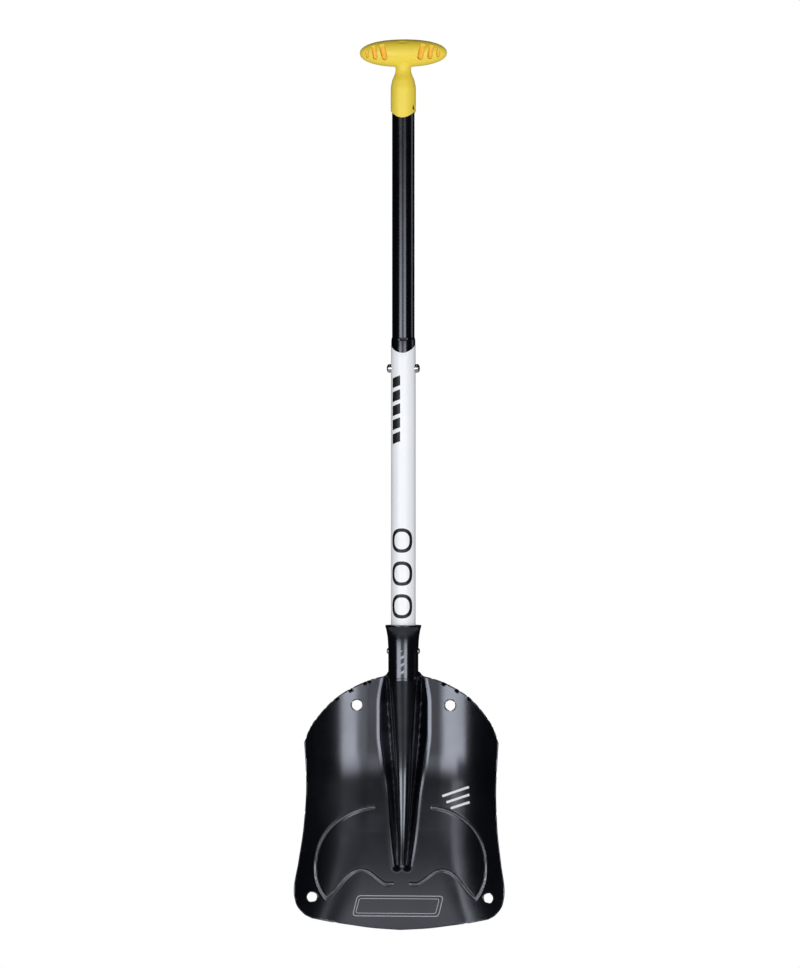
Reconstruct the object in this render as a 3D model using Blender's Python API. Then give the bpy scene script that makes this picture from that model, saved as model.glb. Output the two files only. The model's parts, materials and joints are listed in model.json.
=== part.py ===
"""Avalanche shovel: pressed blade with a rolled socket, two-part telescopic shaft with snap buttons, moulded T-grip.

Metres, +Z up. The shovel stands upright, the blade's lowest point at z = 0, the grip at the top. The scoop faces -Y.
The shaft axis runs along Z at x = 0, y = SHAFT_Y.
"""

import math

import bmesh
import bpy
import numpy as np
from mathutils import Matrix, Vector, geometry

for o in list(bpy.data.objects):
    bpy.data.objects.remove(o, do_unlink=True)

# ---------------------------------------------------------------- driving dimensions (metres)
MM = 0.001
SHAFT_Y = 16.0 * MM  # the shaft axis, so that the whole shovel is centred front to back
GAP = 0.3 * MM  # play between pieces that touch or slide

# blade
SHEET_T = 2.0 * MM
HOLE_TOP = (53.6 * MM, 254.0 * MM, 5.8 * MM)  # x, z, radius
HOLE_LOW = (100.7 * MM, 37.3 * MM, 5.4 * MM)
NECK_Z, NECK_Y = 283.0 * MM, 4.0 * MM  # where the sheet leaves the socket, and how far behind the shaft axis
BEND_Z = 178.0 * MM  # the cross bend: straight above it, leaning forward below it
LEAN = 0.16  # forward lean below the bend, which is a flat plane down to CURL_Z
CURL_Z, CURL_LEAN = 120.0 * MM, 0.30  # from here the lean grows to this at the cutting edge
FLAT_HALF, FLAT_HALF_EDGE = 38.0 * MM, 62.0 * MM  # half width of the scoop's floor, up the blade and at the cutting edge
SIDE_RISE, SIDE_SPAN = 24.0 * MM, 66.0 * MM  # the sides come forward by SIDE_RISE over the first SIDE_SPAN past the floor
RIDGE_END_Z = 72.0 * MM  # where the ridge runs out into the floor
RIDGE_END_R = 4.2 * MM
ROLL_SLOPE, ROLL_W = 0.3, 3.0 * MM  # the sheet rolls gently into each channel over this width
WALL_SLOPE = 0.85  # of the channels' outer walls below the roll
DENT_W, DENT_IN, DENT_DEEP = 4.2 * MM, 3.6 * MM, 3.0 * MM  # dents in the shoulders' edge: across, inwards, and back at the edge

# socket
SOCKET_R = 17.2 * MM
SOCKET_BORE_R = 14.5 * MM
RIM_R = 20.6 * MM
RIM_BORE_R = 18.2 * MM
RIM_Z = 345.8 * MM
SEAM_W = 1.4 * MM

# shaft
LOWER_R, LOWER_WALL = 14.1 * MM, 0.9 * MM
LOWER_Z0, LOWER_Z1 = 288.0 * MM, 656.6 * MM  # the top is the low point of its scalloped mouth
MOUTH_DEPTH = 8.5 * MM
COLLAR_R, COLLAR_TOP_Z = 13.8 * MM, 674.0 * MM
UPPER_R, UPPER_WALL = 12.85 * MM, 1.2 * MM
UPPER_Z0, UPPER_Z1 = 611.0 * MM, 957.0 * MM

# snap buttons: z, radius, tip distance from the axis, inner end of the flange
LOWER_BUTTON = dict(z=316.0 * MM, r=3.4 * MM, tip=19.1 * MM, flange_r=4.8 * MM, inner=10.6 * MM)
UPPER_BUTTON = dict(z=639.0 * MM, r=5.0 * MM, tip=18.95 * MM, flange_r=6.3 * MM, inner=8.2 * MM)

# grip
BAR_Z, BAR_A, BAR_UP, BAR_DOWN, BAR_DEPTH = 999.6 * MM, 50.0 * MM, 15.5 * MM, 16.0 * MM, 14.5 * MM
COLLAR_LOW_Z, LIP_RISE = 925.0 * MM, 8.0 * MM
GRIP_COLLAR_R = 14.4 * MM
PIN_Z, PIN_R, PIN_TURN = 936.5 * MM, 2.6 * MM, 65.0  # the pin lies across the collar, turned 65 degrees from the front

SEG = 48


# ---------------------------------------------------------------- helpers
def material(name, colour, roughness, metallic=0.0):
    m = bpy.data.materials.new(name)
    m.use_nodes = True
    b = m.node_tree.nodes["Principled BSDF"]
    b.inputs["Base Color"].default_value = (*colour, 1.0)
    b.inputs["Roughness"].default_value = roughness
    b.inputs["Metallic"].default_value = metallic
    return m


def add(name, bm, mat, smooth=True, angle=35.0):
    """One object from a bmesh, closed, with outward normals, shaded smooth where it is round."""
    bmesh.ops.recalc_face_normals(bm, faces=bm.faces)
    me = bpy.data.meshes.new(name)
    bm.to_mesh(me)
    bm.free()
    ob = bpy.data.objects.new(name, me)
    bpy.context.scene.collection.objects.link(ob)
    me.materials.append(mat)
    if smooth:
        me.shade_smooth()
        me.set_sharp_from_angle(angle=math.radians(angle))
    return ob


def lathe(points, seg=SEG):
    """Revolves a closed outline of (radius, z) points about Z. Points on the axis close the ends."""
    bm = bmesh.new()
    vs = [bm.verts.new((r, 0.0, z)) for r, z in points]
    es = [bm.edges.new((vs[i], vs[(i + 1) % len(vs)])) for i in range(len(vs)) if not (points[i][0] == 0 and points[(i + 1) % len(vs)][0] == 0)]
    bmesh.ops.spin(bm, geom=vs + es, cent=(0, 0, 0), axis=(0, 0, 1), angle=2 * math.pi, steps=seg, use_duplicate=False)
    bmesh.ops.remove_doubles(bm, verts=bm.verts, dist=0.00002)
    bmesh.ops.dissolve_degenerate(bm, dist=0.00002, edges=bm.edges)
    bmesh.ops.recalc_face_normals(bm, faces=bm.faces)
    return bm


def turn(bm, matrix):
    bmesh.ops.transform(bm, matrix=matrix, verts=bm.verts)
    return bm


def cylinder(r, length, seg=32):
    """A plain cylinder along X, centred on the origin."""
    bm = bmesh.new()
    bmesh.ops.create_cone(bm, cap_ends=True, cap_tris=False, segments=seg, radius1=r, radius2=r, depth=length)
    return turn(bm, Matrix.Rotation(math.pi / 2, 4, "Y"))


def box(size, centre):
    bm = bmesh.new()
    bmesh.ops.create_cube(bm, size=1.0)
    bmesh.ops.scale(bm, vec=size, verts=bm.verts)
    bmesh.ops.translate(bm, vec=centre, verts=bm.verts)
    return bm


def apply_boolean(ob, bm, operation):
    """Joins or cuts ob with a bmesh, exactly, and applies it."""
    bmesh.ops.recalc_face_normals(bm, faces=bm.faces)
    me = bpy.data.meshes.new("cutter")
    bm.to_mesh(me)
    bm.free()
    tool = bpy.data.objects.new("cutter", me)
    bpy.context.scene.collection.objects.link(tool)
    tool.hide_render = True
    tool.display_type = "WIRE"
    mod = ob.modifiers.new("cut", "BOOLEAN")
    mod.operation = operation
    mod.solver = "EXACT"
    mod.object = tool
    bpy.context.view_layer.update()
    done = bpy.data.meshes.new_from_object(ob.evaluated_get(bpy.context.evaluated_depsgraph_get()))
    ob.modifiers.clear()
    old, ob.data = ob.data, done
    bpy.data.meshes.remove(old)
    bpy.data.objects.remove(tool)
    done.name = ob.name


def tidy(ob, angle=35.0, weld=0.00002):
    """Welds what a cut left within a hair, and shades the piece again."""
    bm = bmesh.new()
    bm.from_mesh(ob.data)
    bmesh.ops.remove_doubles(bm, verts=bm.verts, dist=weld)
    bmesh.ops.dissolve_degenerate(bm, dist=weld / 2, edges=bm.edges)
    bmesh.ops.recalc_face_normals(bm, faces=bm.faces)
    bm.to_mesh(ob.data)
    bm.free()
    ob.data.shade_smooth()
    ob.data.set_sharp_from_angle(angle=math.radians(angle))


def empty(name, location, parent=None):
    e = bpy.data.objects.new(name, None)
    e.empty_display_size = 0.02
    bpy.context.scene.collection.objects.link(e)
    e.location = location
    e.parent = parent
    return e


def hold(ob, parent, location=(0, 0, 0)):
    ob.parent = parent
    ob.location = location


# ---------------------------------------------------------------- blade surface
# The blade's half width at each station, in three runs that meet at corners: shoulder, side, cutting edge (z, half width)
SHOULDER = [(292.5, 17.6), (287.4, 22.4), (285.2, 31.4), (278.4, 49.8), (262.3, 77.1), (246.3, 92.8), (228.0, 105.5), (212.0, 111.2)]
SIDE = [(212.0, 111.2), (196.0, 110.1), (159.4, 108.6), (118.3, 110.5), (77.2, 115.6), (45.1, 120.1), (31.4, 118.0), (17.7, 108.5), (13.1, 100.5)]
EDGE = [(100.5, 13.1), (80.0, 8.6), (55.0, 4.9), (30.0, 1.8), (0.0, 0.0)]  # half width, z
# The outer rims of the two channels beside the ridge (z, half width)
CHANNEL = [(60.0, 7.6), (70.3, 9.7), (111.4, 15.3), (152.6, 18.9), (191.5, 24.5), (224.6, 28.0), (255.0, 28.0), (283.0, 24.0), (300.0, 20.5)]
CHANNEL_DEPTH = [(60.0, 2.6), (72.0, 3.6), (111.4, 7.0), (152.6, 9.0), (191.5, 11.0), (224.6, 12.0), (255.0, 12.0), (283.0, 8.0), (300.0, 5.5)]
# Dents in the shoulders' top edge, at these x
DENTS = [-76.3, -61.5, -45.5, -39.8, 46.5, 61.9, 76.2]


def table(pairs, z):
    t = np.array(sorted(pairs)) * MM
    return np.interp(z, t[:, 0], t[:, 1])


def smooth_max(a, b, k):
    """The larger of two heights, with a fillet of about k where they cross."""
    h = np.clip(0.5 + 0.5 * (a - b) / k, 0, 1)
    return b * (1 - h) + a * h + k * h * (1 - h)


def plate_y(x, z):
    """Front face of the plain sheet, before the ridge and channels are pressed in."""
    bend = -smooth_max(BEND_Z - z, 0 * z, 4.0 * MM) * LEAN
    low = np.clip(CURL_Z - z, 0, CURL_Z)
    curl = -0.5 * (CURL_LEAN - LEAN) / CURL_Z * low**2
    half = FLAT_HALF + (FLAT_HALF_EDGE - FLAT_HALF) * (low / CURL_Z) ** 2
    out = np.maximum(np.abs(x) - half, 0)
    return NECK_Y - 0.012 * (NECK_Z - z) + bend + curl - SIDE_RISE * (out / SIDE_SPAN) ** 2


def ridge_r(z):
    t = np.clip((z - RIDGE_END_Z) / (NECK_Z - RIDGE_END_Z), 0, 1)
    return RIDGE_END_R + (SOCKET_R + 0.25 * MM - RIDGE_END_R) * t


def dent_places():
    """Where each dent sits on the outline: its middle, the direction along the edge, and the direction into the sheet."""
    line = half_outline(7.0)
    places = []
    for m in DENTS:
        for (x0, z0), (x1, z1) in zip(line, line[1:]):
            if x0 <= abs(m) * MM < x1 and z0 > 240 * MM:
                d = Vector((x1 - x0, z1 - z0)).normalized()
                c = Vector((x0, z0)) + d * ((abs(m) * MM - x0) / d.x)
                n = Vector((d.y, -d.x))
                s = 1 if m > 0 else -1
                places.append((Vector((s * c.x, c.y)), Vector((s * d.x, d.y)), Vector((s * n.x, n.y))))
    return places


def dents(x, z):
    """How far back the dents push the sheet."""
    total = 0 * x
    for c, d, n in dent_places():
        u = np.abs((x - c.x) * d.x + (z - c.y) * d.y)
        v = (x - c.x) * n.x + (z - c.y) * n.y
        across = np.clip((DENT_W / 2 + 0.3 * MM - u) / (0.8 * MM), 0, 1)
        total = np.maximum(total, DENT_DEEP * across * np.clip(1 - v / DENT_IN, 0, 1))
    return total


def sheet_y(x, z):
    """Front face of the pressed sheet: plate, channels, and the ridge that carries the socket's round front down the blade."""
    x, z = np.asarray(x, float), np.asarray(z, float)
    plate = -plate_y(x, z)  # heights towards the front from here on
    ax = np.abs(x)
    inside = table(CHANNEL, z) - ax
    end_r = 3.8 * MM
    tip = end_r - np.hypot(ax - 5.9 * MM, z - RIDGE_END_Z)
    inside = np.where(z < RIDGE_END_Z, np.minimum(inside, tip), inside)
    depth = table(CHANNEL_DEPTH, z)
    roll = smooth_max(ROLL_SLOPE * (inside + ROLL_W), 0 * inside, 0.5 * MM)
    wall = -smooth_max(WALL_SLOPE * inside + 0.2 * MM, roll, 0.8 * MM)
    floor = smooth_max(wall, -depth, 1.6 * MM)
    r = ridge_r(z)
    crest_top, crest_end = SOCKET_R + 0.25 * MM, -plate_y(0 * z, z) + 0.2 * MM
    t = np.clip((z - RIDGE_END_Z) / (NECK_Z - RIDGE_END_Z), 0, 1)
    crest = crest_end * (1 - t) + crest_top * t
    s = np.clip(ax / r, 0, 0.966)
    dome = crest - r + r * np.sqrt(1 - s**2) - np.maximum(ax / r - 0.966, 0) * r * 3.73
    fade = np.clip((RIDGE_END_Z - z) / (6 * MM), 0, 1)
    dome = dome - fade * 6 * MM
    return -smooth_max(dome, plate + floor, 1.0 * MM)


def front_y(x, z):
    return sheet_y(x, z) + dents(x, z)


def back_y(x, z):
    """Back face: the sheet's thickness behind the front, measured square to the undented sheet."""
    e = 0.6 * MM
    gx = (sheet_y(x + e, z) - sheet_y(x - e, z)) / (2 * e)
    gz = (sheet_y(x, z + e) - sheet_y(x, z - e)) / (2 * e)
    return front_y(x, z) + SHEET_T * np.sqrt(1 + np.minimum(gx**2 + gz**2, 13.0))


def through(stations, step):
    """Points about a step apart on a smooth curve through the stations, with Hermite spans whose slopes don't overshoot."""
    t = np.array([s[0] for s in stations], float)
    v = np.array([s[1] for s in stations], float)
    if t[0] > t[-1]:
        x, y = -t, v
    else:
        x, y = t, v
    h, d = np.diff(x), np.diff(y) / np.diff(x)
    m = np.zeros(len(x))
    m[0], m[-1] = d[0], d[-1]
    for i in range(1, len(x) - 1):
        if d[i - 1] * d[i] > 0:
            w1, w2 = 2 * h[i] + h[i - 1], h[i] + 2 * h[i - 1]
            m[i] = (w1 + w2) / (w1 / d[i - 1] + w2 / d[i])
    done = []
    for i in range(len(h)):
        n = max(1, int(round(math.hypot(h[i], y[i + 1] - y[i]) / step)))
        for k in range(n):
            u = k / n
            value = (1 + 2 * u) * (1 - u) ** 2 * y[i] + u * (1 - u) ** 2 * h[i] * m[i] + u * u * (3 - 2 * u) * y[i + 1] + u * u * (u - 1) * h[i] * m[i + 1]
            done.append((t[i] + (t[i + 1] - t[i]) * u, value))
    return done + [(t[-1], v[-1])]


def half_outline(step):
    """One side of the outline, from the neck to the middle of the cutting edge, as (half width, z) in metres."""
    side = [(w, z) for z, w in through(SHOULDER, step)] + [(w, z) for z, w in through(SIDE, step)][1:]
    edge = through(EDGE, 1.6 * step)[1:]
    return [(w * MM, z * MM) for w, z in side + edge]


def outline_points():
    """The blade's outline, once round, with points where a dent begins and ends."""
    half = half_outline(7.0)
    places = [(c, d) for c, d, n in dent_places()]
    w = DENT_W / 2

    def side(sign):
        pts = [(sign * x, z) for x, z in half[:-1]]
        mine = [(c, d) for c, d in places if c.x * sign > 0]
        pts = [p for p in pts if all(abs(p[0] - c.x) > w + 1.2 * MM or p[1] < 240 * MM for c, d in mine)]
        for c, d in mine:
            pts += [tuple(c + d * t) for t in (-w - 0.3 * MM, -w + 0.5 * MM, w - 0.5 * MM, w + 0.3 * MM)]
        upper = sorted((p for p in pts if p[1] > 240 * MM), key=lambda p: abs(p[0]))
        return upper + [p for p in pts if p[1] <= 240 * MM]

    return side(1) + [half[-1]] + side(-1)[::-1]


def ring(cx, cz, r, n=20):
    return [(cx + r * math.cos(2 * math.pi * k / n), cz + r * math.sin(2 * math.pi * k / n)) for k in range(n)]


def inside_polygon(px, pz, polygon):
    hit = np.zeros(np.shape(px), bool)
    for (x0, z0), (x1, z1) in zip(polygon, polygon[1:] + polygon[:1]):
        if z0 == z1:
            continue
        crosses = (z0 > pz) != (z1 > pz)
        hit ^= crosses & (px < (x1 - x0) * (pz - z0) / (z1 - z0) + x0)
    return hit


def distance_to(px, pz, polygon):
    best = np.full(np.shape(px), 1e9)
    for (x0, z0), (x1, z1) in zip(polygon, polygon[1:] + polygon[:1]):
        dx, dz = x1 - x0, z1 - z0
        t = np.clip(((px - x0) * dx + (pz - z0) * dz) / max(dx * dx + dz * dz, 1e-18), 0, 1)
        best = np.minimum(best, np.hypot(px - x0 - t * dx, pz - z0 - t * dz))
    return best


def blade_sheet():
    outline = outline_points()
    holes = [ring(s * HOLE_TOP[0], HOLE_TOP[1], HOLE_TOP[2]) for s in (-1, 1)]
    holes += [ring(s * HOLE_LOW[0], HOLE_LOW[1], HOLE_LOW[2]) for s in (-1, 1)]
    xs = [0, 3.4, 6.8, 10, 13, 15.6, 17.2, 19.2, 22, 25, 29, 38, 47, 57, 67, 77, 88, 98, 109]
    xs = sorted({s * v * MM for v in xs for s in (-1, 1)})
    zs = [8, 18, 28, 44, 60, 67, 72, 78, 88, 100, 113, 127, 141, 155, 168, 178, 188, 199, 211, 224, 238, 252, 265, 275, 283, 289]
    gx, gz = np.meshgrid(xs, np.array(zs) * MM)
    gx, gz = gx.ravel(), gz.ravel()
    keep = inside_polygon(gx, gz, outline) & (distance_to(gx, gz, outline) > 2.2 * MM)
    for h in holes:
        keep &= ~inside_polygon(gx, gz, h) & (distance_to(gx, gz, h) > 2.5 * MM)
    extra = []
    for c, d, n in dent_places():
        keep &= np.hypot(gx - c.x, gz - c.y) > 5.5 * MM
        w = DENT_W / 2
        extra += [c + d * a + n * b for a, b in ((-w - 0.3 * MM, 1.8 * MM), (-w + 0.5 * MM, 1.8 * MM), (w - 0.5 * MM, 1.8 * MM), (w + 0.3 * MM, 1.8 * MM), (-w, DENT_IN), (0, DENT_IN), (w, DENT_IN))]
    points, edges = [], []
    for loop in [outline] + holes:
        first = len(points)
        points += loop
        edges += [(first + k, first + (k + 1) % len(loop)) for k in range(len(loop))]
    rim = len(points)
    points += list(zip(gx[keep], gz[keep])) + [tuple(q) for q in extra]
    flat, _, faces, *_ = geometry.delaunay_2d_cdt([Vector(p) for p in points], edges, [], 0, 1e-7)
    fx, fz = np.array([p.x for p in flat]), np.array([p.y for p in flat])
    tri = np.array([f for f in faces])
    cx, cz = fx[tri].mean(1), fz[tri].mean(1)
    good = inside_polygon(cx, cz, outline)
    for h in holes:
        good &= ~inside_polygon(cx, cz, h)
    tri = tri[good]
    bm = bmesh.new()
    yf, yb = front_y(fx, fz), back_y(fx, fz)
    front = [bm.verts.new((x, y, z)) for x, y, z in zip(fx, yf, fz)]
    back = [bm.verts.new((x, y, z)) for x, y, z in zip(fx, yb, fz)]
    count = {}
    for a, b, c in tri.tolist():
        bm.faces.new((front[a], front[b], front[c]))
        bm.faces.new((back[c], back[b], back[a]))
        for e in ((a, b), (b, c), (c, a)):
            count[frozenset(e)] = count.get(frozenset(e), 0) + 1
    for e, n in count.items():
        if n == 1:
            a, b = tuple(e)
            bm.faces.new((front[a], front[b], back[b], back[a]))
    bmesh.ops.delete(bm, geom=[v for v in bm.verts if not v.link_faces], context="VERTS")
    bmesh.ops.recalc_face_normals(bm, faces=bm.faces)
    return bm


def socket_tube():
    """The rolled socket: flared rim, straight bore, cut back obliquely where its front runs on as the ridge."""
    outer = [(20.6, 345.8), (20.45, 343.0), (19.5, 340.3), (18.7, 336.0), (18.0, 331.0), (17.55, 324.5), (17.2, 314.0), (17.2, 250.0)]
    inner = [(14.5, 250.0), (14.5, 326.0), (14.9, 332.0), (16.0, 338.0), (17.7, 342.6), (18.2, 345.8)]
    return lathe([(r * MM, z * MM) for r, z in outer + inner])


# ---------------------------------------------------------------- materials
BLACK_SHEET = material("blade_black", (0.03, 0.03, 0.035), 0.25, 0.6)
WHITE = material("tube_white", (0.85, 0.86, 0.88), 0.35)
BLACK_TUBE = material("tube_black", (0.02, 0.02, 0.024), 0.2, 0.4)
BLACK_PLASTIC = material("collar_black", (0.03, 0.03, 0.03), 0.5)
STEEL = material("steel", (0.62, 0.62, 0.63), 0.25, 1.0)
SPRING_STEEL = material("spring_steel", (0.45, 0.45, 0.47), 0.35, 1.0)
YELLOW = material("grip_yellow", (0.9, 0.6, 0.06), 0.4)

# ---------------------------------------------------------------- blade
root = empty("shovel", (0, SHAFT_Y, 0))
blade = add("blade", blade_sheet(), BLACK_SHEET, angle=40)
clear = lathe([(0.0, 286.6 * MM), (SOCKET_BORE_R + 0.3 * MM, 286.6 * MM), (SOCKET_BORE_R + 0.3 * MM, 300 * MM), (0.0, 300 * MM)], 40)
apply_boolean(blade, clear, "DIFFERENCE")
tube = add("socket", socket_tube(), BLACK_SHEET)
# the socket's lower end slants: its front stops at the neck, its back wall runs a little further down
slant = box((0.1, 0.2, 0.1), (0, 0, 0))
turn(slant, Matrix.Translation((0, 0, 272 * MM)) @ Matrix.Rotation(math.radians(-38), 4, "X") @ Matrix.Translation((0, 0, -0.05)))
apply_boolean(tube, slant, "DIFFERENCE")
apply_boolean(tube, box((SEAM_W, 0.03, 0.2), (0, 0.022, 300 * MM)), "DIFFERENCE")
joined = bmesh.new()
joined.from_mesh(tube.data)
bpy.data.objects.remove(tube)
apply_boolean(blade, joined, "UNION")
cut = cylinder(LOWER_BUTTON["r"] + 0.4 * MM, 0.06, 24)
bmesh.ops.translate(cut, vec=(0, 0, LOWER_BUTTON["z"]), verts=cut.verts)
apply_boolean(blade, cut, "DIFFERENCE")
tidy(blade, 40, 0.000001)
hold(blade, root)

# ---------------------------------------------------------------- lower shaft
lower_shaft = empty("lower_shaft", (0, 0, LOWER_Z0), root)


def mouth_rise(x):
    """The white tube's mouth is cut to a U: lowest in front and behind, highest at the sides."""
    u = min(1.0, abs(x) / (0.95 * LOWER_R))
    return MOUTH_DEPTH * (0.5 * u * u + 0.5 * (1 - math.sqrt(1 - u * u)))


def scallop(bm, low, high):
    """Lifts the vertices between two levels to the mouth's shape."""
    for v in bm.verts:
        if low < v.co.z < high:
            v.co.z += mouth_rise(v.co.x)
    return bm


ri = LOWER_R - LOWER_WALL
tube_bm = lathe([(LOWER_R, LOWER_Z0 + 0.6 * MM), (LOWER_R, LOWER_Z1 - 12 * MM), (LOWER_R, LOWER_Z1), (ri, LOWER_Z1), (ri, LOWER_Z0), (LOWER_R - 0.5 * MM, LOWER_Z0)])
lower_tube = add("lower_tube", scallop(tube_bm, LOWER_Z1 - 1 * MM, LOWER_Z1 + 1 * MM), WHITE)
for button in (LOWER_BUTTON, UPPER_BUTTON):
    cut = cylinder(button["r"] + 0.35 * MM, 0.06, 24)
    bmesh.ops.translate(cut, vec=(0, 0, button["z"]), verts=cut.verts)
    apply_boolean(lower_tube, cut, "DIFFERENCE")
tidy(lower_tube)
hold(lower_tube, lower_shaft, (0, 0, -LOWER_Z0))

rc = UPPER_R + GAP
low = LOWER_Z1 + 0.4 * MM
collar_bm = lathe([(COLLAR_R, low), (COLLAR_R, 665.5 * MM), (COLLAR_R - 0.12 * MM, 668.5 * MM), (COLLAR_R - 0.35 * MM, 671.5 * MM), (rc + 0.15 * MM, COLLAR_TOP_Z), (rc, COLLAR_TOP_Z - 0.4 * MM), (rc, low)])
scallop(collar_bm, low - 0.1 * MM, low + 0.1 * MM)
guide_collar = add("guide_collar", collar_bm, BLACK_PLASTIC)
hold(guide_collar, lower_shaft, (0, 0, -LOWER_Z0))


# ---------------------------------------------------------------- V springs and snap buttons
def leaf_spring(name, arm_x, z_free, z_bend, width, thick, mat):
    """A leaf bent into a V: a round bend at z_bend and two arms that open out to arm_x at z_free."""
    up = 1 if z_bend > z_free else -1
    rb = 3.0 * MM
    path = [(arm_x, z_free - up * 4 * MM), (arm_x, z_free + up * 5 * MM)]
    for k in range(9):
        a = math.pi * k / 8
        path.append((rb * math.cos(a), z_bend - up * rb + up * rb * math.sin(a)))
    path += [(-arm_x, z_free + up * 5 * MM), (-arm_x, z_free - up * 4 * MM)]
    sides = []
    for i, (x, z) in enumerate(path):
        a, b = path[max(i - 1, 0)], path[min(i + 1, len(path) - 1)]
        d = Vector((b[0] - a[0], b[1] - a[1])).normalized()
        n = Vector((-d.y, d.x)) * thick / 2
        sides.append(((x + n.x, z + n.y), (x - n.x, z - n.y)))
    bm = bmesh.new()
    rows = [[bm.verts.new((p[0], y, p[1])) for p, y in ((s[0], -width / 2), (s[1], -width / 2), (s[1], width / 2), (s[0], width / 2))] for s in sides]
    for a, b in zip(rows, rows[1:]):
        for k in range(4):
            bm.faces.new((a[k], a[(k + 1) % 4], b[(k + 1) % 4], b[k]))
    bm.faces.new(rows[0])
    bm.faces.new(rows[-1])
    return add(name, bm, mat, angle=30)


def snap_button(name, side, d, mat, parent, parent_z):
    """A round-headed pin with a flange inside the tube. Its origin is on its own axis, where it presses along X."""
    r, tip, inner, fr = d["r"], d["tip"], d["inner"], d["flange_r"]
    crown = 0.45 * r
    points = [(0.0, inner), (fr, inner), (fr, inner + 1.0 * MM), (r, inner + 1.0 * MM), (r, tip - crown * 1.25)]
    for k in range(1, 6):
        a = math.pi / 2 * k / 6
        points.append((r * math.cos(a) ** 0.75, tip - crown * 1.25 * (1 - math.sin(a))))
    points.append((0.0, tip))
    bm = lathe(points, 24)
    turn(bm, Matrix.Rotation(side * math.pi / 2, 4, "Y"))
    ob = add(name, bm, mat)
    hold(ob, parent, (0, 0, d["z"] - parent_z))
    return ob


lower_spring = leaf_spring("lower_spring", LOWER_BUTTON["inner"] - GAP - 0.35 * MM, LOWER_BUTTON["z"], 350 * MM, 7 * MM, 0.6 * MM, SPRING_STEEL)
hold(lower_spring, lower_shaft, (0, 0, -LOWER_Z0))
snap_button("lower_button_left", -1, LOWER_BUTTON, STEEL, lower_shaft, LOWER_Z0)
snap_button("lower_button_right", 1, LOWER_BUTTON, STEEL, lower_shaft, LOWER_Z0)

# ---------------------------------------------------------------- upper shaft
upper_shaft = empty("upper_shaft", (0, 0, UPPER_Z0 - LOWER_Z0), lower_shaft)
ri = UPPER_R - UPPER_WALL
upper_tube = add("upper_tube", lathe([(UPPER_R, UPPER_Z0 + 0.5 * MM), (UPPER_R, UPPER_Z1), (ri, UPPER_Z1), (ri, UPPER_Z0), (UPPER_R - 0.4 * MM, UPPER_Z0)]), BLACK_TUBE)
for r, z, turned in ((UPPER_BUTTON["r"] + 0.3 * MM, UPPER_BUTTON["z"], 0.0), (PIN_R + GAP, PIN_Z, PIN_TURN - 90)):
    cut = cylinder(r, 0.06, 24)
    turn(cut, Matrix.Translation((0, 0, z)) @ Matrix.Rotation(math.radians(turned), 4, "Z"))
    apply_boolean(upper_tube, cut, "DIFFERENCE")
tidy(upper_tube)
hold(upper_tube, upper_shaft, (0, 0, -UPPER_Z0))

upper_spring = leaf_spring("upper_spring", UPPER_BUTTON["inner"] - GAP - 0.35 * MM, UPPER_BUTTON["z"], 674 * MM, 8 * MM, 0.6 * MM, SPRING_STEEL)
hold(upper_spring, upper_shaft, (0, 0, -UPPER_Z0))
snap_button("upper_button_left", -1, UPPER_BUTTON, STEEL, upper_shaft, UPPER_Z0)
snap_button("upper_button_right", 1, UPPER_BUTTON, STEEL, upper_shaft, UPPER_Z0)


# ---------------------------------------------------------------- grip
def grip_bar():
    """A lens-shaped bar across the top, fuller above than below."""
    bm = bmesh.new()
    bmesh.ops.create_uvsphere(bm, u_segments=30, v_segments=18, radius=1.0)
    turn(bm, Matrix.Rotation(math.pi / 2, 4, "Y"))
    for v in bm.verts:
        x, y, z = v.co
        ring_r = math.hypot(y, z)
        full = max(0.0, 1 - min(1.0, abs(x)) ** 2.25) ** (1 / 2.15)
        k = full / ring_r if ring_r > 1e-6 else 0.0
        v.co = (x * BAR_A, y * k * BAR_DEPTH, BAR_Z + z * k * (BAR_UP if z > 0 else BAR_DOWN))
    return bm


neck = [(0.0, 992.0), (8.9, 992.0), (8.8, 984.0), (8.85, 979.0), (9.7, 975.5), (10.6, 973.2), (11.6, 971.0), (12.6, 968.6), (13.3, 965.5), (14.0, 962.0), (14.4, 958.5), (14.4, 925.0 + 4.0), (13.9, 925.0), (13.15, 925.0), (13.15, 957.4), (0.0, 957.4)]
grip = add("grip", grip_bar(), YELLOW)
stem = lathe([(r * MM, z * MM) for r, z in neck])
for v in stem.verts:
    if v.co.z < 930 * MM:
        v.co.z += LIP_RISE * min(1.0, abs(v.co.x) / GRIP_COLLAR_R) ** 2.0
apply_boolean(grip, stem, "UNION")
# three slanted pockets on each side, front and back: mouth centre x, z, half height, half width, lean
POCKETS = [(21.9, 1000.2, 9.6, 3.1, 12.6), (32.2, 999.8, 8.2, 2.5, 9.0), (40.8, 998.3, 4.4, 1.75, 3.0)]
for side in (-1, 1):
    for face in (-1, 1):
        for px, pz, ph, pw, lean in POCKETS:
            cut = box((2 * pw * MM, 20 * MM, 2 * ph * MM), (0, 0, 0))
            bmesh.ops.bevel(cut, geom=[e for e in cut.edges if abs(e.verts[0].co.y - e.verts[1].co.y) > 0.01], offset=0.9 * pw * MM, segments=3, affect="EDGES", profile=0.5)
            depth = 7.5 * MM if px < 35 else 4.0 * MM
            turn(cut, Matrix.Translation((side * px * MM, face * (depth + 10 * MM), pz * MM)) @ Matrix.Rotation(math.radians(side * lean), 4, "Y"))
            apply_boolean(grip, cut, "DIFFERENCE")
cut = cylinder(PIN_R + GAP, 0.06, 24)
turn(cut, Matrix.Translation((0, 0, PIN_Z)) @ Matrix.Rotation(math.radians(PIN_TURN - 90), 4, "Z"))
apply_boolean(grip, cut, "DIFFERENCE")
tidy(grip)
hold(grip, upper_shaft, (0, 0, -UPPER_Z0))

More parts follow.
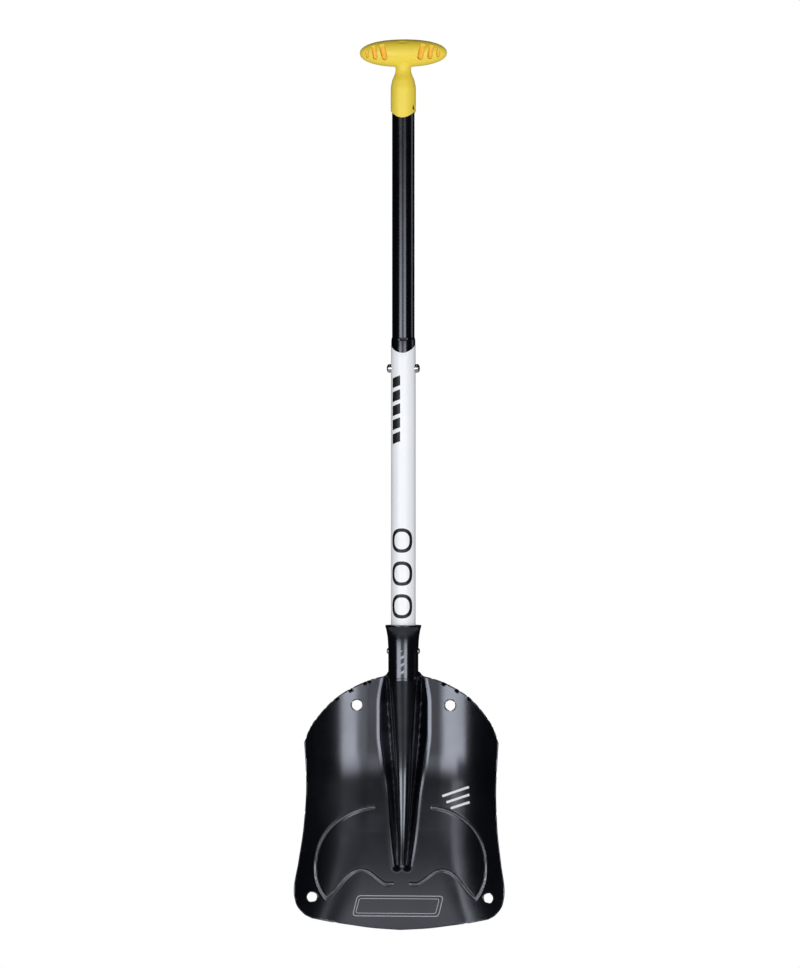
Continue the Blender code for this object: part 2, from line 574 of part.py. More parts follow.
pin = cylinder(PIN_R, 2 * (GRIP_COLLAR_R - 0.6 * MM), 24)
turn(pin, Matrix.Rotation(math.radians(PIN_TURN - 90), 4, "Z"))
grip_pin = add("grip_pin", pin, STEEL)
hold(grip_pin, upper_shaft, (0, 0, PIN_Z - UPPER_Z0))

bpy.context.view_layer.update()
for o in sorted((o for o in bpy.data.objects if o.type == "MESH"), key=lambda o: o.name):
    print(o.name, len(o.data.vertices), sum(len(p.vertices) - 2 for p in o.data.polygons))
every = [o.matrix_world @ v.co for o in bpy.data.objects if o.type == "MESH" for v in o.data.vertices]
print("box", [round(min(p[k] for p in every), 5) for k in range(3)], [round(max(p[k] for p in every), 5) for k in range(3)])
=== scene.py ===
"""Looks of the avalanche shovel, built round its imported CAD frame. Lengths in the helpers are millimetres where a name ends in _mm, metres elsewhere."""

import json
import math

import bmesh
import bpy
import numpy as np
from mathutils import Matrix, Vector, geometry

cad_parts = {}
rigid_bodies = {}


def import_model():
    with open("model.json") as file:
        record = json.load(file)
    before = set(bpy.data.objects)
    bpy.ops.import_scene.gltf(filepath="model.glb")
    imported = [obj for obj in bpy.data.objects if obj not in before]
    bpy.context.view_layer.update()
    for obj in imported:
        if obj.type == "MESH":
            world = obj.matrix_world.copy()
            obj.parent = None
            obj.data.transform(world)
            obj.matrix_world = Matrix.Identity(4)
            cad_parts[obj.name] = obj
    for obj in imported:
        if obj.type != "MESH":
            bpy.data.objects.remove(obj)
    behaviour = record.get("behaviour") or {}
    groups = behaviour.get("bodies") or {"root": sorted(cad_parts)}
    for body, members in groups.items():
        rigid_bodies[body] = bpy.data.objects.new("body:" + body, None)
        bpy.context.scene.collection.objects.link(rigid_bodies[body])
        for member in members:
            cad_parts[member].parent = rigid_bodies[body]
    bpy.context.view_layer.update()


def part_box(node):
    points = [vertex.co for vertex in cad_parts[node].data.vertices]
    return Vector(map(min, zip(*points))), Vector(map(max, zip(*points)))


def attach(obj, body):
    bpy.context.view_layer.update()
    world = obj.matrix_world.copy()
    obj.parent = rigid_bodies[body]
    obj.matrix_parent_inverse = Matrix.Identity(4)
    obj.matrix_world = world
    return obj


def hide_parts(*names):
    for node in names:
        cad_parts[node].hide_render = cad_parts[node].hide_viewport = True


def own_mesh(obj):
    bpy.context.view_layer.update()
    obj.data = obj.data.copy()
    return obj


for o in list(bpy.data.objects):
    bpy.data.objects.remove(o, do_unlink=True)

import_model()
MM = 0.001
_lo, _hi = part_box("upper_tube")
SY = (_lo.y + _hi.y) / 2  # the shaft axis
COLLECTION = bpy.context.scene.collection


# ------------------------------------------------------------------ meshes
def make(name, verts, faces, mat, smooth=True, sharp=None, normals=None):
    me = bpy.data.meshes.new(name)
    me.from_pydata([tuple(v) for v in verts], [], [tuple(f) for f in faces])
    me.validate()
    me.materials.append(mat)
    if smooth:
        me.shade_smooth()
    if sharp:
        me.set_sharp_from_angle(angle=math.radians(sharp))
    if normals is not None:
        me.normals_split_custom_set_from_vertices([tuple(n) for n in normals])
    ob = bpy.data.objects.new(name, me)
    COLLECTION.objects.link(ob)
    return ob


def lathe(name, points_mm, mat, seg=128, sharp=30, place=None, warp=None):
    """Revolves a closed outline of (radius, height) about Z; radius 0 closes an end."""
    n = len(points_mm)
    verts, rows = [], []
    for r, z in points_mm:
        if r == 0:
            rows.append([len(verts)] * seg)
            verts.append((0.0, 0.0, z * MM))
        else:
            rows.append(list(range(len(verts), len(verts) + seg)))
            verts += [(r * MM * math.cos(2 * math.pi * k / seg), r * MM * math.sin(2 * math.pi * k / seg), z * MM) for k in range(seg)]
    faces = []
    for i in range(n):
        a, b = rows[i], rows[(i + 1) % n]
        if a[0] == a[1] and b[0] == b[1]:
            continue
        for k in range(seg):
            f = [a[k], a[(k + 1) % seg], b[(k + 1) % seg], b[k]]
            g = []
            for v in f:
                if v not in g:
                    g.append(v)
            faces.append(g)
    if warp:
        verts = [warp(*v) for v in verts]
    if place is not None:
        verts = [tuple(place @ Vector(v)) for v in verts]
    ob = make(name, verts, faces, mat)
    bm = bmesh.new()
    bm.from_mesh(ob.data)
    bmesh.ops.recalc_face_normals(bm, faces=bm.faces)
    bm.to_mesh(ob.data)
    bm.free()
    ob.data.shade_smooth()
    if sharp:
        ob.data.set_sharp_from_angle(angle=math.radians(sharp))
    return ob


def drill(ob, radius_mm, centre, axis="X", length=0.07, sharp=30):
    """Cuts a round hole through ob."""
    bm = bmesh.new()
    bmesh.ops.create_cone(bm, cap_ends=True, cap_tris=False, segments=48, radius1=radius_mm * MM, radius2=radius_mm * MM, depth=length)
    bmesh.ops.transform(bm, matrix=Matrix.Translation(centre) @ Matrix.Rotation(math.pi / 2, 4, "Y" if axis == "X" else "X"), verts=bm.verts)
    bmesh.ops.recalc_face_normals(bm, faces=bm.faces)
    me = bpy.data.meshes.new("cutter")
    bm.to_mesh(me)
    bm.free()
    tool = bpy.data.objects.new("cutter", me)
    COLLECTION.objects.link(tool)
    mod = ob.modifiers.new("cut", "BOOLEAN")
    mod.operation, mod.solver, mod.object = "DIFFERENCE", "EXACT", tool
    bpy.context.view_layer.update()
    done = bpy.data.meshes.new_from_object(ob.evaluated_get(bpy.context.evaluated_depsgraph_get()))
    ob.modifiers.clear()
    ob.data = done
    done.name = ob.name
    bpy.data.objects.remove(tool)
    ob.data.shade_smooth()
    ob.data.set_sharp_from_angle(angle=math.radians(sharp))


# ------------------------------------------------------------------ materials
class Mat:
    """A small helper to wire procedural materials."""

    def __init__(self, name):
        self.m = bpy.data.materials.new(name)
        self.m.use_nodes = True
        self.t = self.m.node_tree
        self.b = self.t.nodes["Principled BSDF"]
        self.co = self.t.nodes.new("ShaderNodeTexCoord").outputs["Object"]

    def node(self, kind, **inputs):
        n = self.t.nodes.new(kind)
        for k, v in inputs.items():
            self.put(n, k, v)
        return n

    def put(self, n, key, v):
        s = n.inputs[key.replace("_", " ")] if isinstance(key, str) else n.inputs[key]
        if isinstance(v, bpy.types.NodeSocket):
            self.t.links.new(v, s)
        else:
            s.default_value = v

    def noise(self, scale, detail=4.0, rough=0.5, stretch=(1, 1, 1), turn=(0, 0, 0)):
        mp = self.node("ShaderNodeMapping", Vector=self.co)
        mp.inputs["Scale"].default_value = stretch
        mp.inputs["Rotation"].default_value = turn
        n = self.node("ShaderNodeTexNoise", Vector=mp.outputs[0], Scale=scale, Detail=detail, Roughness=rough)
        return n.outputs["Fac"]

    def ramp(self, value, lo, hi, a, b):
        n = self.node("ShaderNodeMapRange", Value=value)
        n.interpolation_type = "SMOOTHSTEP"
        for k, v in (("From Min", lo), ("From Max", hi), ("To Min", a), ("To Max", b)):
            n.inputs[k].default_value = v
        return n.outputs[0]

    def math(self, op, a, b):
        n = self.t.nodes.new("ShaderNodeMath")
        n.operation = op
        self.put(n, 0, a)
        self.put(n, 1, b)
        return n.outputs[0]

    def mix(self, fac, a, b):
        n = self.t.nodes.new("ShaderNodeMix")
        n.data_type = "RGBA"
        for i, v in ((0, fac), (6, a), (7, b)):
            if isinstance(v, bpy.types.NodeSocket):
                self.t.links.new(v, n.inputs[i])
            else:
                n.inputs[i].default_value = v if i == 0 else (*v, 1.0)
        return n.outputs[2]

    def bump(self, height, strength, distance, below=None):
        n = self.node("ShaderNodeBump", Height=height, Strength=strength, Distance=distance)
        if below is not None:
            self.put(n, "Normal", below)
        return n.outputs[0]

    def set(self, **inputs):
        for k, v in inputs.items():
            self.put(self.b, k, v)
        return self


def black_metal(name, rough, base=(0.0012, 0.0014, 0.0024), ior=1.62, grime=0.35, painted_crest_highlight=False):
    """Black anodised sheet: glossy, with fine drawing lines, hairline scratches and a slight orange peel."""
    k = Mat(name)
    patches = k.ramp(k.noise(9.0, 5.0, 0.6), 0.35, 0.7, 0.0, 1.0)
    hair = k.ramp(k.noise(60.0, 2.0, 0.5, (1, 1, 0.03), (0.0, 0.2, 0.0)), 0.66, 0.72, 0.0, 1.0)
    hair2 = k.ramp(k.noise(70.0, 2.0, 0.5, (0.03, 1, 1), (0.0, -0.5, 0.0)), 0.68, 0.74, 0.0, 1.0)
    lines = k.math("MULTIPLY", k.math("MAXIMUM", hair, hair2), 0.5)
    col = k.mix(patches, base, tuple(1.6 * c for c in base))
    if painted_crest_highlight:
        # painted highlight: a paler grey painted along the bead crests and the sheet's rims, standing in for the light
        # those edges reflect, broken up by noise
        crest_highlight_attr = k.node("ShaderNodeAttribute")
        crest_highlight_attr.attribute_name = "painted_crest_highlight"
        broken = k.ramp(k.noise(140.0, 3.0, 0.6), 0.25, 0.6, 0.55, 1.0)
        col = k.mix(k.math("MULTIPLY", crest_highlight_attr.outputs["Fac"], broken), col, (0.155, 0.16, 0.18))
    k.set(Base_Color=col, IOR=ior, Metallic=0.0)
    k.put(k.b, "Specular Tint", (0.81, 0.86, 1.0, 1.0))
    r = k.math("ADD", rough, k.math("MULTIPLY", patches, 0.05 * grime / 0.35))
    r = k.math("ADD", r, k.math("MULTIPLY", lines, 0.03))
    k.set(Roughness=r)
    k.set(Normal=k.bump(k.noise(900.0, 2.0, 0.5), 0.10, 0.00005, k.bump(k.noise(45.0, 2.0, 0.4), 0.06, 0.0006)))
    return k.m


def white_paint(name):
    k = Mat(name)
    speck = k.ramp(k.noise(160.0, 3.0, 0.6), 0.70, 0.78, 0.0, 1.0)
    cloud = k.noise(6.0, 4.0, 0.55)
    col = k.mix(k.ramp(cloud, 0.3, 0.7, 0.0, 1.0), (0.86, 0.875, 0.90), (0.90, 0.91, 0.93))
    col = k.mix(k.math("MULTIPLY", speck, 0.10), col, (0.55, 0.56, 0.58))
    k.set(Base_Color=col, IOR=1.48)
    k.set(Roughness=k.ramp(k.noise(20.0, 4.0, 0.6), 0.3, 0.7, 0.30, 0.40))
    k.set(Normal=k.bump(k.noise(700.0, 2.0, 0.5), 0.08, 0.00008))
    return k.m


def plastic(name, a, b, rough, speckle=0.12, sss=0.0, inside=None):
    k = Mat(name)
    cloud = k.ramp(k.noise(14.0, 4.0, 0.6), 0.3, 0.7, 0.0, 1.0)
    col = k.mix(cloud, a, b)
    if inside:
        # painted shade: a deeper orange painted into the slots by how deep a point lies, standing in for the shade and
        # orange bounce light there
        deep = k.node("ShaderNodeAttribute")
        deep.attribute_name = "deep"
        col = k.mix(k.math("MULTIPLY", deep.outputs["Fac"], 0.85), col, inside)
    k.set(Base_Color=col, IOR=1.47)
    if sss:
        k.put(k.b, "Subsurface Weight", sss)
        k.put(k.b, "Subsurface Scale", 0.004)
        k.put(k.b, "Subsurface Radius", (1.0, 0.5, 0.1))
    k.set(Roughness=k.ramp(k.noise(35.0, 4.0, 0.6), 0.3, 0.7, rough - 0.04, rough + 0.06))
    k.set(Normal=k.bump(k.noise(1400.0, 2.0, 0.5), speckle, 0.00010))
    return k.m


def steel(name, base=(0.60, 0.60, 0.61), rough=0.22):
    k = Mat(name)
    line = k.noise(220.0, 3.0, 0.5, (0.08, 1, 1))
    k.set(Base_Color=k.mix(k.ramp(line, 0.3, 0.7, 0.0, 1.0), tuple(0.86 * c for c in base), base), Metallic=1.0)
    k.set(Roughness=k.ramp(k.noise(90.0, 4.0, 0.6), 0.3, 0.7, rough - 0.05, rough + 0.10))
    k.set(Normal=k.bump(line, 0.10, 0.00005))
    return k.m


def printing(name, colour, rough=0.45):
    k = Mat(name)
    wear = k.ramp(k.noise(260.0, 4.0, 0.65), 0.68, 0.80, 0.0, 1.0)
    k.set(Base_Color=k.mix(k.math("MULTIPLY", wear, 0.25), colour, tuple(0.5 * c + 0.1 for c in colour)))
    k.set(Roughness=k.ramp(k.noise(120.0, 3.0, 0.6), 0.3, 0.7, rough - 0.05, rough + 0.08))
    k.set(Normal=k.bump(k.noise(900.0, 2.0, 0.5), 0.10, 0.00005))
    return k.m


BLADE_BLACK = black_metal("blade_black", 0.165, ior=1.75, painted_crest_highlight=True)
TUBE_BLACK = black_metal("tube_black", 0.12, ior=1.65, grime=0.2)
COLLAR_BLACK = black_metal("collar_black", 0.15, ior=1.63, grime=0.2)
WHITE = white_paint("tube_white")
# the last colour is the painted shade for the grip's slots
YELLOW = plastic("grip_yellow", (0.925, 0.690, 0.062), (0.95, 0.725, 0.070), 0.38, 0.10, 0.08, (0.94, 0.55, 0.045))
STEEL = steel("button_steel")
SPRING = steel("spring_steel", (0.42, 0.42, 0.44), 0.35)
PRINT_BLACK = printing("print_black", (0.006, 0.006, 0.008), 0.45)
PRINT_PALE = printing("print_pale", (0.70, 0.71, 0.73), 0.5)
PRINT_GREY = printing("print_grey", (0.36, 0.365, 0.385), 0.5)

# ------------------------------------------------------------------ blade surface (the same design as the CAD sheet, with finer detail)
NECK_Z, NECK_Y, BEND_Z, LEAN, CURL_Z, CURL_EXTRA = 283.0, 4.0, 185.5, 0.16 * 178.0 / 185.5, 120.0, 0.14
FLAT_HALF, FLAT_HALF_EDGE, SIDE_RISE, SIDE_SPAN = 38.0, 62.0, 24.0, 66.0
RIDGE_END_Z, RIDGE_END_R, WALL_SLOPE, SHEET_T, SOCKET_R = 72.0, 4.2, 0.85, 2.0, 17.2
ROLL_SLOPE, ROLL_W = 0.3, 3.0
DENT_W, DENT_IN, DENT_DEEP = 4.2, 3.6, 3.0
HOLES = [(53.6, 254.0, 5.8), (100.7, 37.3, 5.4)]
SHOULDER = [(292.5, 17.6), (287.4, 22.4), (285.2, 31.4), (278.4, 49.8), (262.3, 77.1), (246.3, 92.8), (228.0, 105.5), (212.0, 111.2)]
SIDE = [(212.0, 111.2), (196.0, 110.1), (159.4, 108.6), (118.3, 110.5), (77.2, 115.6), (45.1, 120.1), (31.4, 118.0), (17.7, 108.5), (13.1, 100.5)]
EDGE = [(100.5, 13.1), (80.0, 8.6), (55.0, 4.9), (30.0, 1.8), (0.0, 0.0)]
CHANNEL = [(60.0, 7.6), (70.3, 9.7), (111.4, 15.3), (152.6, 18.9), (191.5, 24.5), (224.6, 28.0), (255.0, 28.0), (283.0, 24.0), (300.0, 20.5)]
CHANNEL_DEPTH = [(60.0, 2.6), (72.0, 3.6), (111.4, 7.0), (152.6, 9.0), (191.5, 11.0), (224.6, 12.0), (255.0, 12.0), (283.0, 8.0), (300.0, 5.5)]
DENTS = [-76.3, -61.5, -45.5, -39.8, 46.5, 61.9, 76.2]


def through(stations, step):
    t = np.array([s[0] for s in stations], float)
    v = np.array([s[1] for s in stations], float)
    x = -t if t[0] > t[-1] else t
    h, d = np.diff(x), np.diff(v) / np.diff(x)
    m = np.zeros(len(x))
    m[0], m[-1] = d[0], d[-1]
    for i in range(1, len(x) - 1):
        if d[i - 1] * d[i] > 0:
            w1, w2 = 2 * h[i] + h[i - 1], h[i] + 2 * h[i - 1]
            m[i] = (w1 + w2) / (w1 / d[i - 1] + w2 / d[i])
    done = []
    for i in range(len(h)):
        n = max(1, int(round(math.hypot(h[i], v[i + 1] - v[i]) / step)))
        for k in range(n):
            u = k / n
            y = (1 + 2 * u) * (1 - u) ** 2 * v[i] + u * (1 - u) ** 2 * h[i] * m[i] + u * u * (3 - 2 * u) * v[i + 1] + u * u * (u - 1) * h[i] * m[i + 1]
            done.append((t[i] + (t[i + 1] - t[i]) * u, y))
    return done + [(t[-1], v[-1])]


def table(pairs, z):
    """A smooth curve through the pairs, read at z."""
    fine = np.array(sorted(through(sorted(pairs), 2.0)))
    return np.interp(z, fine[:, 0], fine[:, 1])


def smooth_max(a, b, k):
    h = np.clip(0.5 + 0.5 * (a - b) / k, 0, 1)
    return b * (1 - h) + a * h + k * h * (1 - h)


def plate_y(x, z):
    bend = -smooth_max(BEND_Z - z, 0 * z, 20.0) * LEAN
    low = np.clip(CURL_Z - z, 0, CURL_Z)
    curl = -0.5 * CURL_EXTRA / CURL_Z * low**2
    half = FLAT_HALF + (FLAT_HALF_EDGE - FLAT_HALF) * (low / CURL_Z) ** 2
    out = np.maximum(np.abs(x) - half, 0)
    return NECK_Y - 0.012 * (NECK_Z - z) + bend + curl - SIDE_RISE * (out / SIDE_SPAN) ** 2


def spline(points, step=1.5):
    """A Catmull-Rom curve through the points, sampled."""
    p = [np.array(q, float) for q in points]
    p = [2 * p[0] - p[1]] + p + [2 * p[-1] - p[-2]]
    done = []
    for i in range(1, len(p) - 2):
        n = max(2, int(np.linalg.norm(p[i + 1] - p[i]) / step))
        for k in range(n):
            u = k / n
            done.append(tuple(0.5 * ((2 * p[i]) + (-p[i - 1] + p[i + 1]) * u + (2 * p[i - 1] - 5 * p[i] + 4 * p[i + 1] - p[i + 2]) * u**2 + (-p[i - 1] + 3 * p[i] - 3 * p[i + 1] + p[i + 2]) * u**3)))
    return done + [tuple(p[-2])]


def distance(px, pz, line, closed=True):
    best = np.full(np.shape(px), 1e9)
    last = len(line) if closed else len(line) - 1
    for i in range(last):
        x0, z0 = line[i]
        x1, z1 = line[(i + 1) % len(line)]
        dx, dz = x1 - x0, z1 - z0
        t = np.clip(((px - x0) * dx + (pz - z0) * dz) / max(dx * dx + dz * dz, 1e-12), 0, 1)
        best = np.minimum(best, np.hypot(px - x0 - t * dx, pz - z0 - t * dz))
    return best


# plain stiffening beads, the same on both sides: (x, z) points of each one's crest
BEADS = [
    spline([(34.0, 138.0), (50.0, 134.5), (66.0, 127.0), (81.0, 115.0), (91.5, 99.0), (96.5, 80.0), (96.0, 60.0), (91.0, 45.0), (85.0, 36.0)]),
    spline([(85.0, 36.0), (76.0, 44.0), (66.0, 56.0), (57.0, 64.0), (47.0, 67.0), (37.0, 64.5), (27.0, 57.0), (18.0, 51.5), (10.0, 52.0)]),
]
_bead_grid = {}


def beads(x, z):
    """Height of the pressed beads, read from a fine table so that it is quick to ask for."""
    if not _bead_grid:
        gx, gz = np.arange(0, 125, 0.25), np.arange(0, 160, 0.25)
        X, Z = np.meshgrid(gx, gz, indexing="ij")
        d = np.full(X.shape, 1e3)
        for line in BEADS:
            for x0, z0 in line:
                i0, i1 = np.searchsorted(gx, [x0 - 6, x0 + 6])
                j0, j1 = np.searchsorted(gz, [z0 - 6, z0 + 6])
                d[i0:i1, j0:j1] = np.minimum(d[i0:i1, j0:j1], 6.0)
            pts = line
            for (x0, z0), (x1, z1) in zip(pts, pts[1:]):
                i0, i1 = np.searchsorted(gx, [min(x0, x1) - 5, max(x0, x1) + 5])
                j0, j1 = np.searchsorted(gz, [min(z0, z1) - 5, max(z0, z1) + 5])
                sx, sz = X[i0:i1, j0:j1], Z[i0:i1, j0:j1]
                dx, dz = x1 - x0, z1 - z0
                t = np.clip(((sx - x0) * dx + (sz - z0) * dz) / max(dx * dx + dz * dz, 1e-12), 0, 1)
                d[i0:i1, j0:j1] = np.minimum(d[i0:i1, j0:j1], np.hypot(sx - x0 - t * dx, sz - z0 - t * dz))
        _bead_grid["h"] = BEAD_H * np.exp(-((d / BEAD_W) ** 2))
    h = _bead_grid["h"]
    u, v = np.abs(x) / 0.25, np.asarray(z, float) / 0.25
    u, v = np.clip(u, 0, h.shape[0] - 2.001), np.clip(v, 0, h.shape[1] - 2.001)
    i, j = u.astype(int), v.astype(int)
    fu, fv = u - i, v - j
    return (h[i, j] * (1 - fu) + h[i + 1, j] * fu) * (1 - fv) + (h[i, j + 1] * (1 - fu) + h[i + 1, j + 1] * fu) * fv


BEAD_H, BEAD_W = 0.95, 1.15


def ridge_r(z):
    t = np.clip((z - RIDGE_END_Z) / (NECK_Z - RIDGE_END_Z), 0, 1)
    return RIDGE_END_R + (SOCKET_R + 0.25 - RIDGE_END_R) * t


def half_outline():
    side = [(w, z) for z, w in through(SHOULDER, 1.5)] + [(w, z) for z, w in through(SIDE, 1.8)][1:]
    return side + through(EDGE, 2.0)[1:]


def dent_places():
    line = half_outline()
    places = []
    for m in DENTS:
        for (x0, z0), (x1, z1) in zip(line, line[1:]):
            if x0 <= abs(m) < x1 and z0 > 240:
                d = Vector((x1 - x0, z1 - z0)).normalized()
                c = Vector((x0, z0)) + d * ((abs(m) - x0) / d.x)
                n = Vector((d.y, -d.x))
                s = 1 if m > 0 else -1
                places.append((Vector((s * c.x, c.y)), Vector((s * d.x, d.y)), Vector((s * n.x, n.y))))
    return places


DENT_PLACES = dent_places()


def dents(x, z):
    """How far back the dents in the shoulders' edge push the sheet."""
    total = 0 * x
    for c, d, n in DENT_PLACES:
        u = np.abs((x - c.x) * d.x + (z - c.y) * d.y)
        v = (x - c.x) * n.x + (z - c.y) * n.y
        across = np.clip((DENT_W / 2 + 0.3 - u) / 0.8, 0, 1)
        across = across * across * (3 - 2 * across)
        total = np.maximum(total, DENT_DEEP * across * np.clip(1 - v / DENT_IN, 0, 1))
    return total


def sheet_y(x, z):
    x, z = np.asarray(x, float), np.asarray(z, float)
    plate = -plate_y(x, z)
    ax = np.sqrt(x * x + 0.01)
    inside = table(CHANNEL, z) - ax
    tip = 3.8 - np.hypot(ax - 5.9, z - RIDGE_END_Z)
    inside = np.where(z < RIDGE_END_Z, np.minimum(inside, tip), inside)
    depth = table(CHANNEL_DEPTH, z)
    roll = smooth_max(ROLL_SLOPE * (inside + ROLL_W), 0 * inside, 0.5)
    wall = -smooth_max(WALL_SLOPE * inside + 0.2, roll, 0.8)
    floor = smooth_max(wall, -depth, 1.6)
    r = ridge_r(z)
    # the crest runs up under the socket's own wall, so that no step shows between them
    crest_top = SOCKET_R + 0.05 - 0.6 * np.clip((z - 284.0) / 6.0, 0, 1)
    crest_end = -plate_y(0 * z, z) + 0.2
    t = np.clip((z - RIDGE_END_Z) / (NECK_Z - RIDGE_END_Z), 0, 1)
    crest = crest_end * (1 - t) + crest_top * t
    s = np.clip(ax / r, 0, 0.966)
    dome = crest - r + r * np.sqrt(1 - s**2) - np.maximum(ax / r - 0.966, 0) * r * 3.73
    fade = np.clip((RIDGE_END_Z - z) / 6.0, 0, 1)
    dome = dome - fade * 6.0
    return -(smooth_max(dome, plate + floor, 1.0) + beads(x, z))


def slopes(f, x, z, e=0.25):
    return (f(x + e, z) - f(x - e, z)) / (2 * e), (f(x, z + e) - f(x, z - e)) / (2 * e)


def front_y(x, z):
    return sheet_y(x, z) + dents(x, z)


def back_y(x, z):
    gx, gz = slopes(sheet_y, x, z, 0.6)
    return front_y(x, z) + SHEET_T * np.sqrt(1 + np.minimum(gx**2 + gz**2, 13.0))


def outline_points():
    half = half_outline()
    w = DENT_W / 2

    def side(sign):
        pts = [(sign * x, z) for x, z in half[:-1]]
        mine = [(c, d) for c, d, n in DENT_PLACES if c.x * sign > 0]
        pts = [p for p in pts if p[1] < 240 or all(abs(p[0] - c.x) > w + 0.8 for c, d in mine)]
        for c, d in mine:
            pts += [tuple(c + d * t) for t in (-w - 0.3, -w, -w + 0.5, -0.8, 0.0, 0.8, w - 0.5, w, w + 0.3)]
        upper = sorted((p for p in pts if p[1] > 240), key=lambda p: abs(p[0]))
        return upper + [p for p in pts if p[1] <= 240]

    return side(1) + [half[-1]] + side(-1)[::-1]


def ring(cx, cz, r, n=40):
    return [(cx + r * math.cos(2 * math.pi * k / n), cz + r * math.sin(2 * math.pi * k / n)) for k in range(n)]


def inside_polygon(px, pz, polygon):
    hit = np.zeros(np.shape(px), bool)
    for (x0, z0), (x1, z1) in zip(polygon, polygon[1:] + polygon[:1]):
        if z0 == z1:
            continue
        crosses = (z0 > pz) != (z1 > pz)
        hit ^= crosses & (px < (x1 - x0) * (pz - z0) / (z1 - z0) + x0)
    return hit


def inset(loop, by, hole=False):
    """The loop moved by a small distance into the sheet."""
    p = np.array(loop)
    d = np.roll(p, -1, 0) - np.roll(p, 1, 0)
    n = np.stack([-d[:, 1], d[:, 0]], 1) / np.maximum(np.hypot(d[:, 0], d[:, 1]), 1e-9)[:, None]
    area = 0.5 * np.sum(p[:, 0] * np.roll(p[:, 1], -1) - np.roll(p[:, 0], -1) * p[:, 1])
    sign = (1 if area > 0 else -1) * (-1 if hole else 1)
    return [tuple(q) for q in p + sign * by * n]


def blade_sheet():
    outline = outline_points()
    loops = [outline] + [ring(s * x, z, r) for x, z, r in HOLES for s in (-1, 1)]
    inner = [inset(outline, 0.45)] + [inset(h, 0.45, True) for h in loops[1:]]
    xs = np.unique(np.round(np.concatenate([np.arange(0, 31, 0.8), np.arange(31, 121, 1.3)]), 3))
    xs = np.concatenate([-xs[:0:-1], xs])
    zs = np.arange(1.0, 292, 1.3)
    gx, gz = np.meshgrid(xs, zs)
    gx, gz = gx.ravel(), gz.ravel()
    keep = inside_polygon(gx, gz, inner[0])
    gx, gz = gx[keep], gz[keep]
    keep = distance(gx, gz, inner[0]) > 0.55
    for h in inner[1:]:
        near = np.hypot(gx - np.mean([q[0] for q in h]), gz - np.mean([q[1] for q in h]))
        keep &= near > max(math.hypot(q[0] - np.mean([v[0] for v in h]), q[1] - np.mean([v[1] for v in h])) for q in h) + 0.5
    points, edges, first = [], [], []
    for loop in inner:
        first.append(len(points))
        edges += [(len(points) + k, len(points) + (k + 1) % len(loop)) for k in range(len(loop))]
        points += loop
    points += list(zip(gx[keep].tolist(), gz[keep].tolist()))
    flat, _, faces, *_ = geometry.delaunay_2d_cdt([Vector(p) for p in points], edges, [], 0, 1e-6)
    fx, fz = np.array([p.x for p in flat]), np.array([p.y for p in flat])
    tri = np.array([tuple(f) for f in faces])
    cx, cz = fx[tri].mean(1), fz[tri].mean(1)
    good = inside_polygon(cx, cz, inner[0])
    for h in inner[1:]:
        good &= ~inside_polygon(cx, cz, h)
    yf, yb = front_y(fx, fz), back_y(fx, fz)
    # inside the socket's bore the sheet is open
    my = yf[tri].mean(1)
    good &= ~((cz > 286.6) & (np.hypot(cx, my + 1.0) < 14.8))
    tri = tri[good]
    n = len(fx)
    verts = [(a, b, c) for a, b, c in zip(fx, yf, fz)] + [(a, b, c) for a, b, c in zip(fx, yb, fz)]
    gxf, gzf = slopes(front_y, fx, fz)
    gxb, gzb = slopes(back_y, fx, fz, 0.4)
    nf = np.stack([gxf, -np.ones(n), gzf], 1)
    nb = np.stack([-gxb, np.ones(n), -gzb], 1)
    normals = np.concatenate([nf, nb])
    normals /= np.linalg.norm(normals, axis=1)[:, None]
    faces = []
    for a, b, c in tri.tolist():
        # front faces look to -Y
        up = (fx[b] - fx[a]) * (fz[c] - fz[a]) - (fx[c] - fx[a]) * (fz[b] - fz[a])
        if up > 0:
            faces += [(a, b, c), (n + c, n + b, n + a)]
        else:
            faces += [(c, b, a), (n + a, n + b, n + c)]
    # rounded rims: two more rows round each loop, between the front's and the back's edges
    normals = normals.tolist()
    index = {}
    for i, (a, b) in enumerate(zip(fx, fz)):
        index[(round(a, 4), round(b, 4))] = i
    for k, loop in enumerate(loops):
        p = np.array(loop)
        yfl, ybl = front_y(p[:, 0], p[:, 1]), back_y(p[:, 0], p[:, 1])
        base = len(verts)
        m = len(loop)
        rows = []
        for share in (0.22, 0.78):
            rows.append(list(range(len(verts), len(verts) + m)))
            verts += [(q[0], a + (b - a) * share, q[1]) for q, a, b in zip(loop, yfl, ybl)]
            normals += [(0.0, 0.0, 0.0)] * m
        lip = [index.get((round(q[0], 4), round(q[1], 4))) for q in inner[k]]
        for j in range(m):
            j2 = (j + 1) % m
            if lip[j] is None or lip[j2] is None:
                continue
            for a, b in (([lip[j], lip[j2]], [rows[0][j], rows[0][j2]]), ([rows[0][j], rows[0][j2]], [rows[1][j], rows[1][j2]]), ([rows[1][j], rows[1][j2]], [n + lip[j], n + lip[j2]])):
                faces.append((a[0], a[1], b[1], b[0]))
        for q in lip:
            if q is not None:
                normals[q] = (0.0, 0.0, 0.0)
                normals[n + q] = (0.0, 0.0, 0.0)
    # painted highlight weights: full on the front bead crests, none on the back, a weaker share on the rim strips
    t = np.clip((beads(fx, fz) / BEAD_H - 0.45) / 0.5, 0, 1)
    painted_crest_highlight = np.concatenate([t * t * (3 - 2 * t), np.zeros(n), np.full(len(verts) - 2 * n, 0.35)])
    verts = [(a * MM, b * MM + SY, c * MM) for a, b, c in verts]
    return verts, faces, normals, painted_crest_highlight


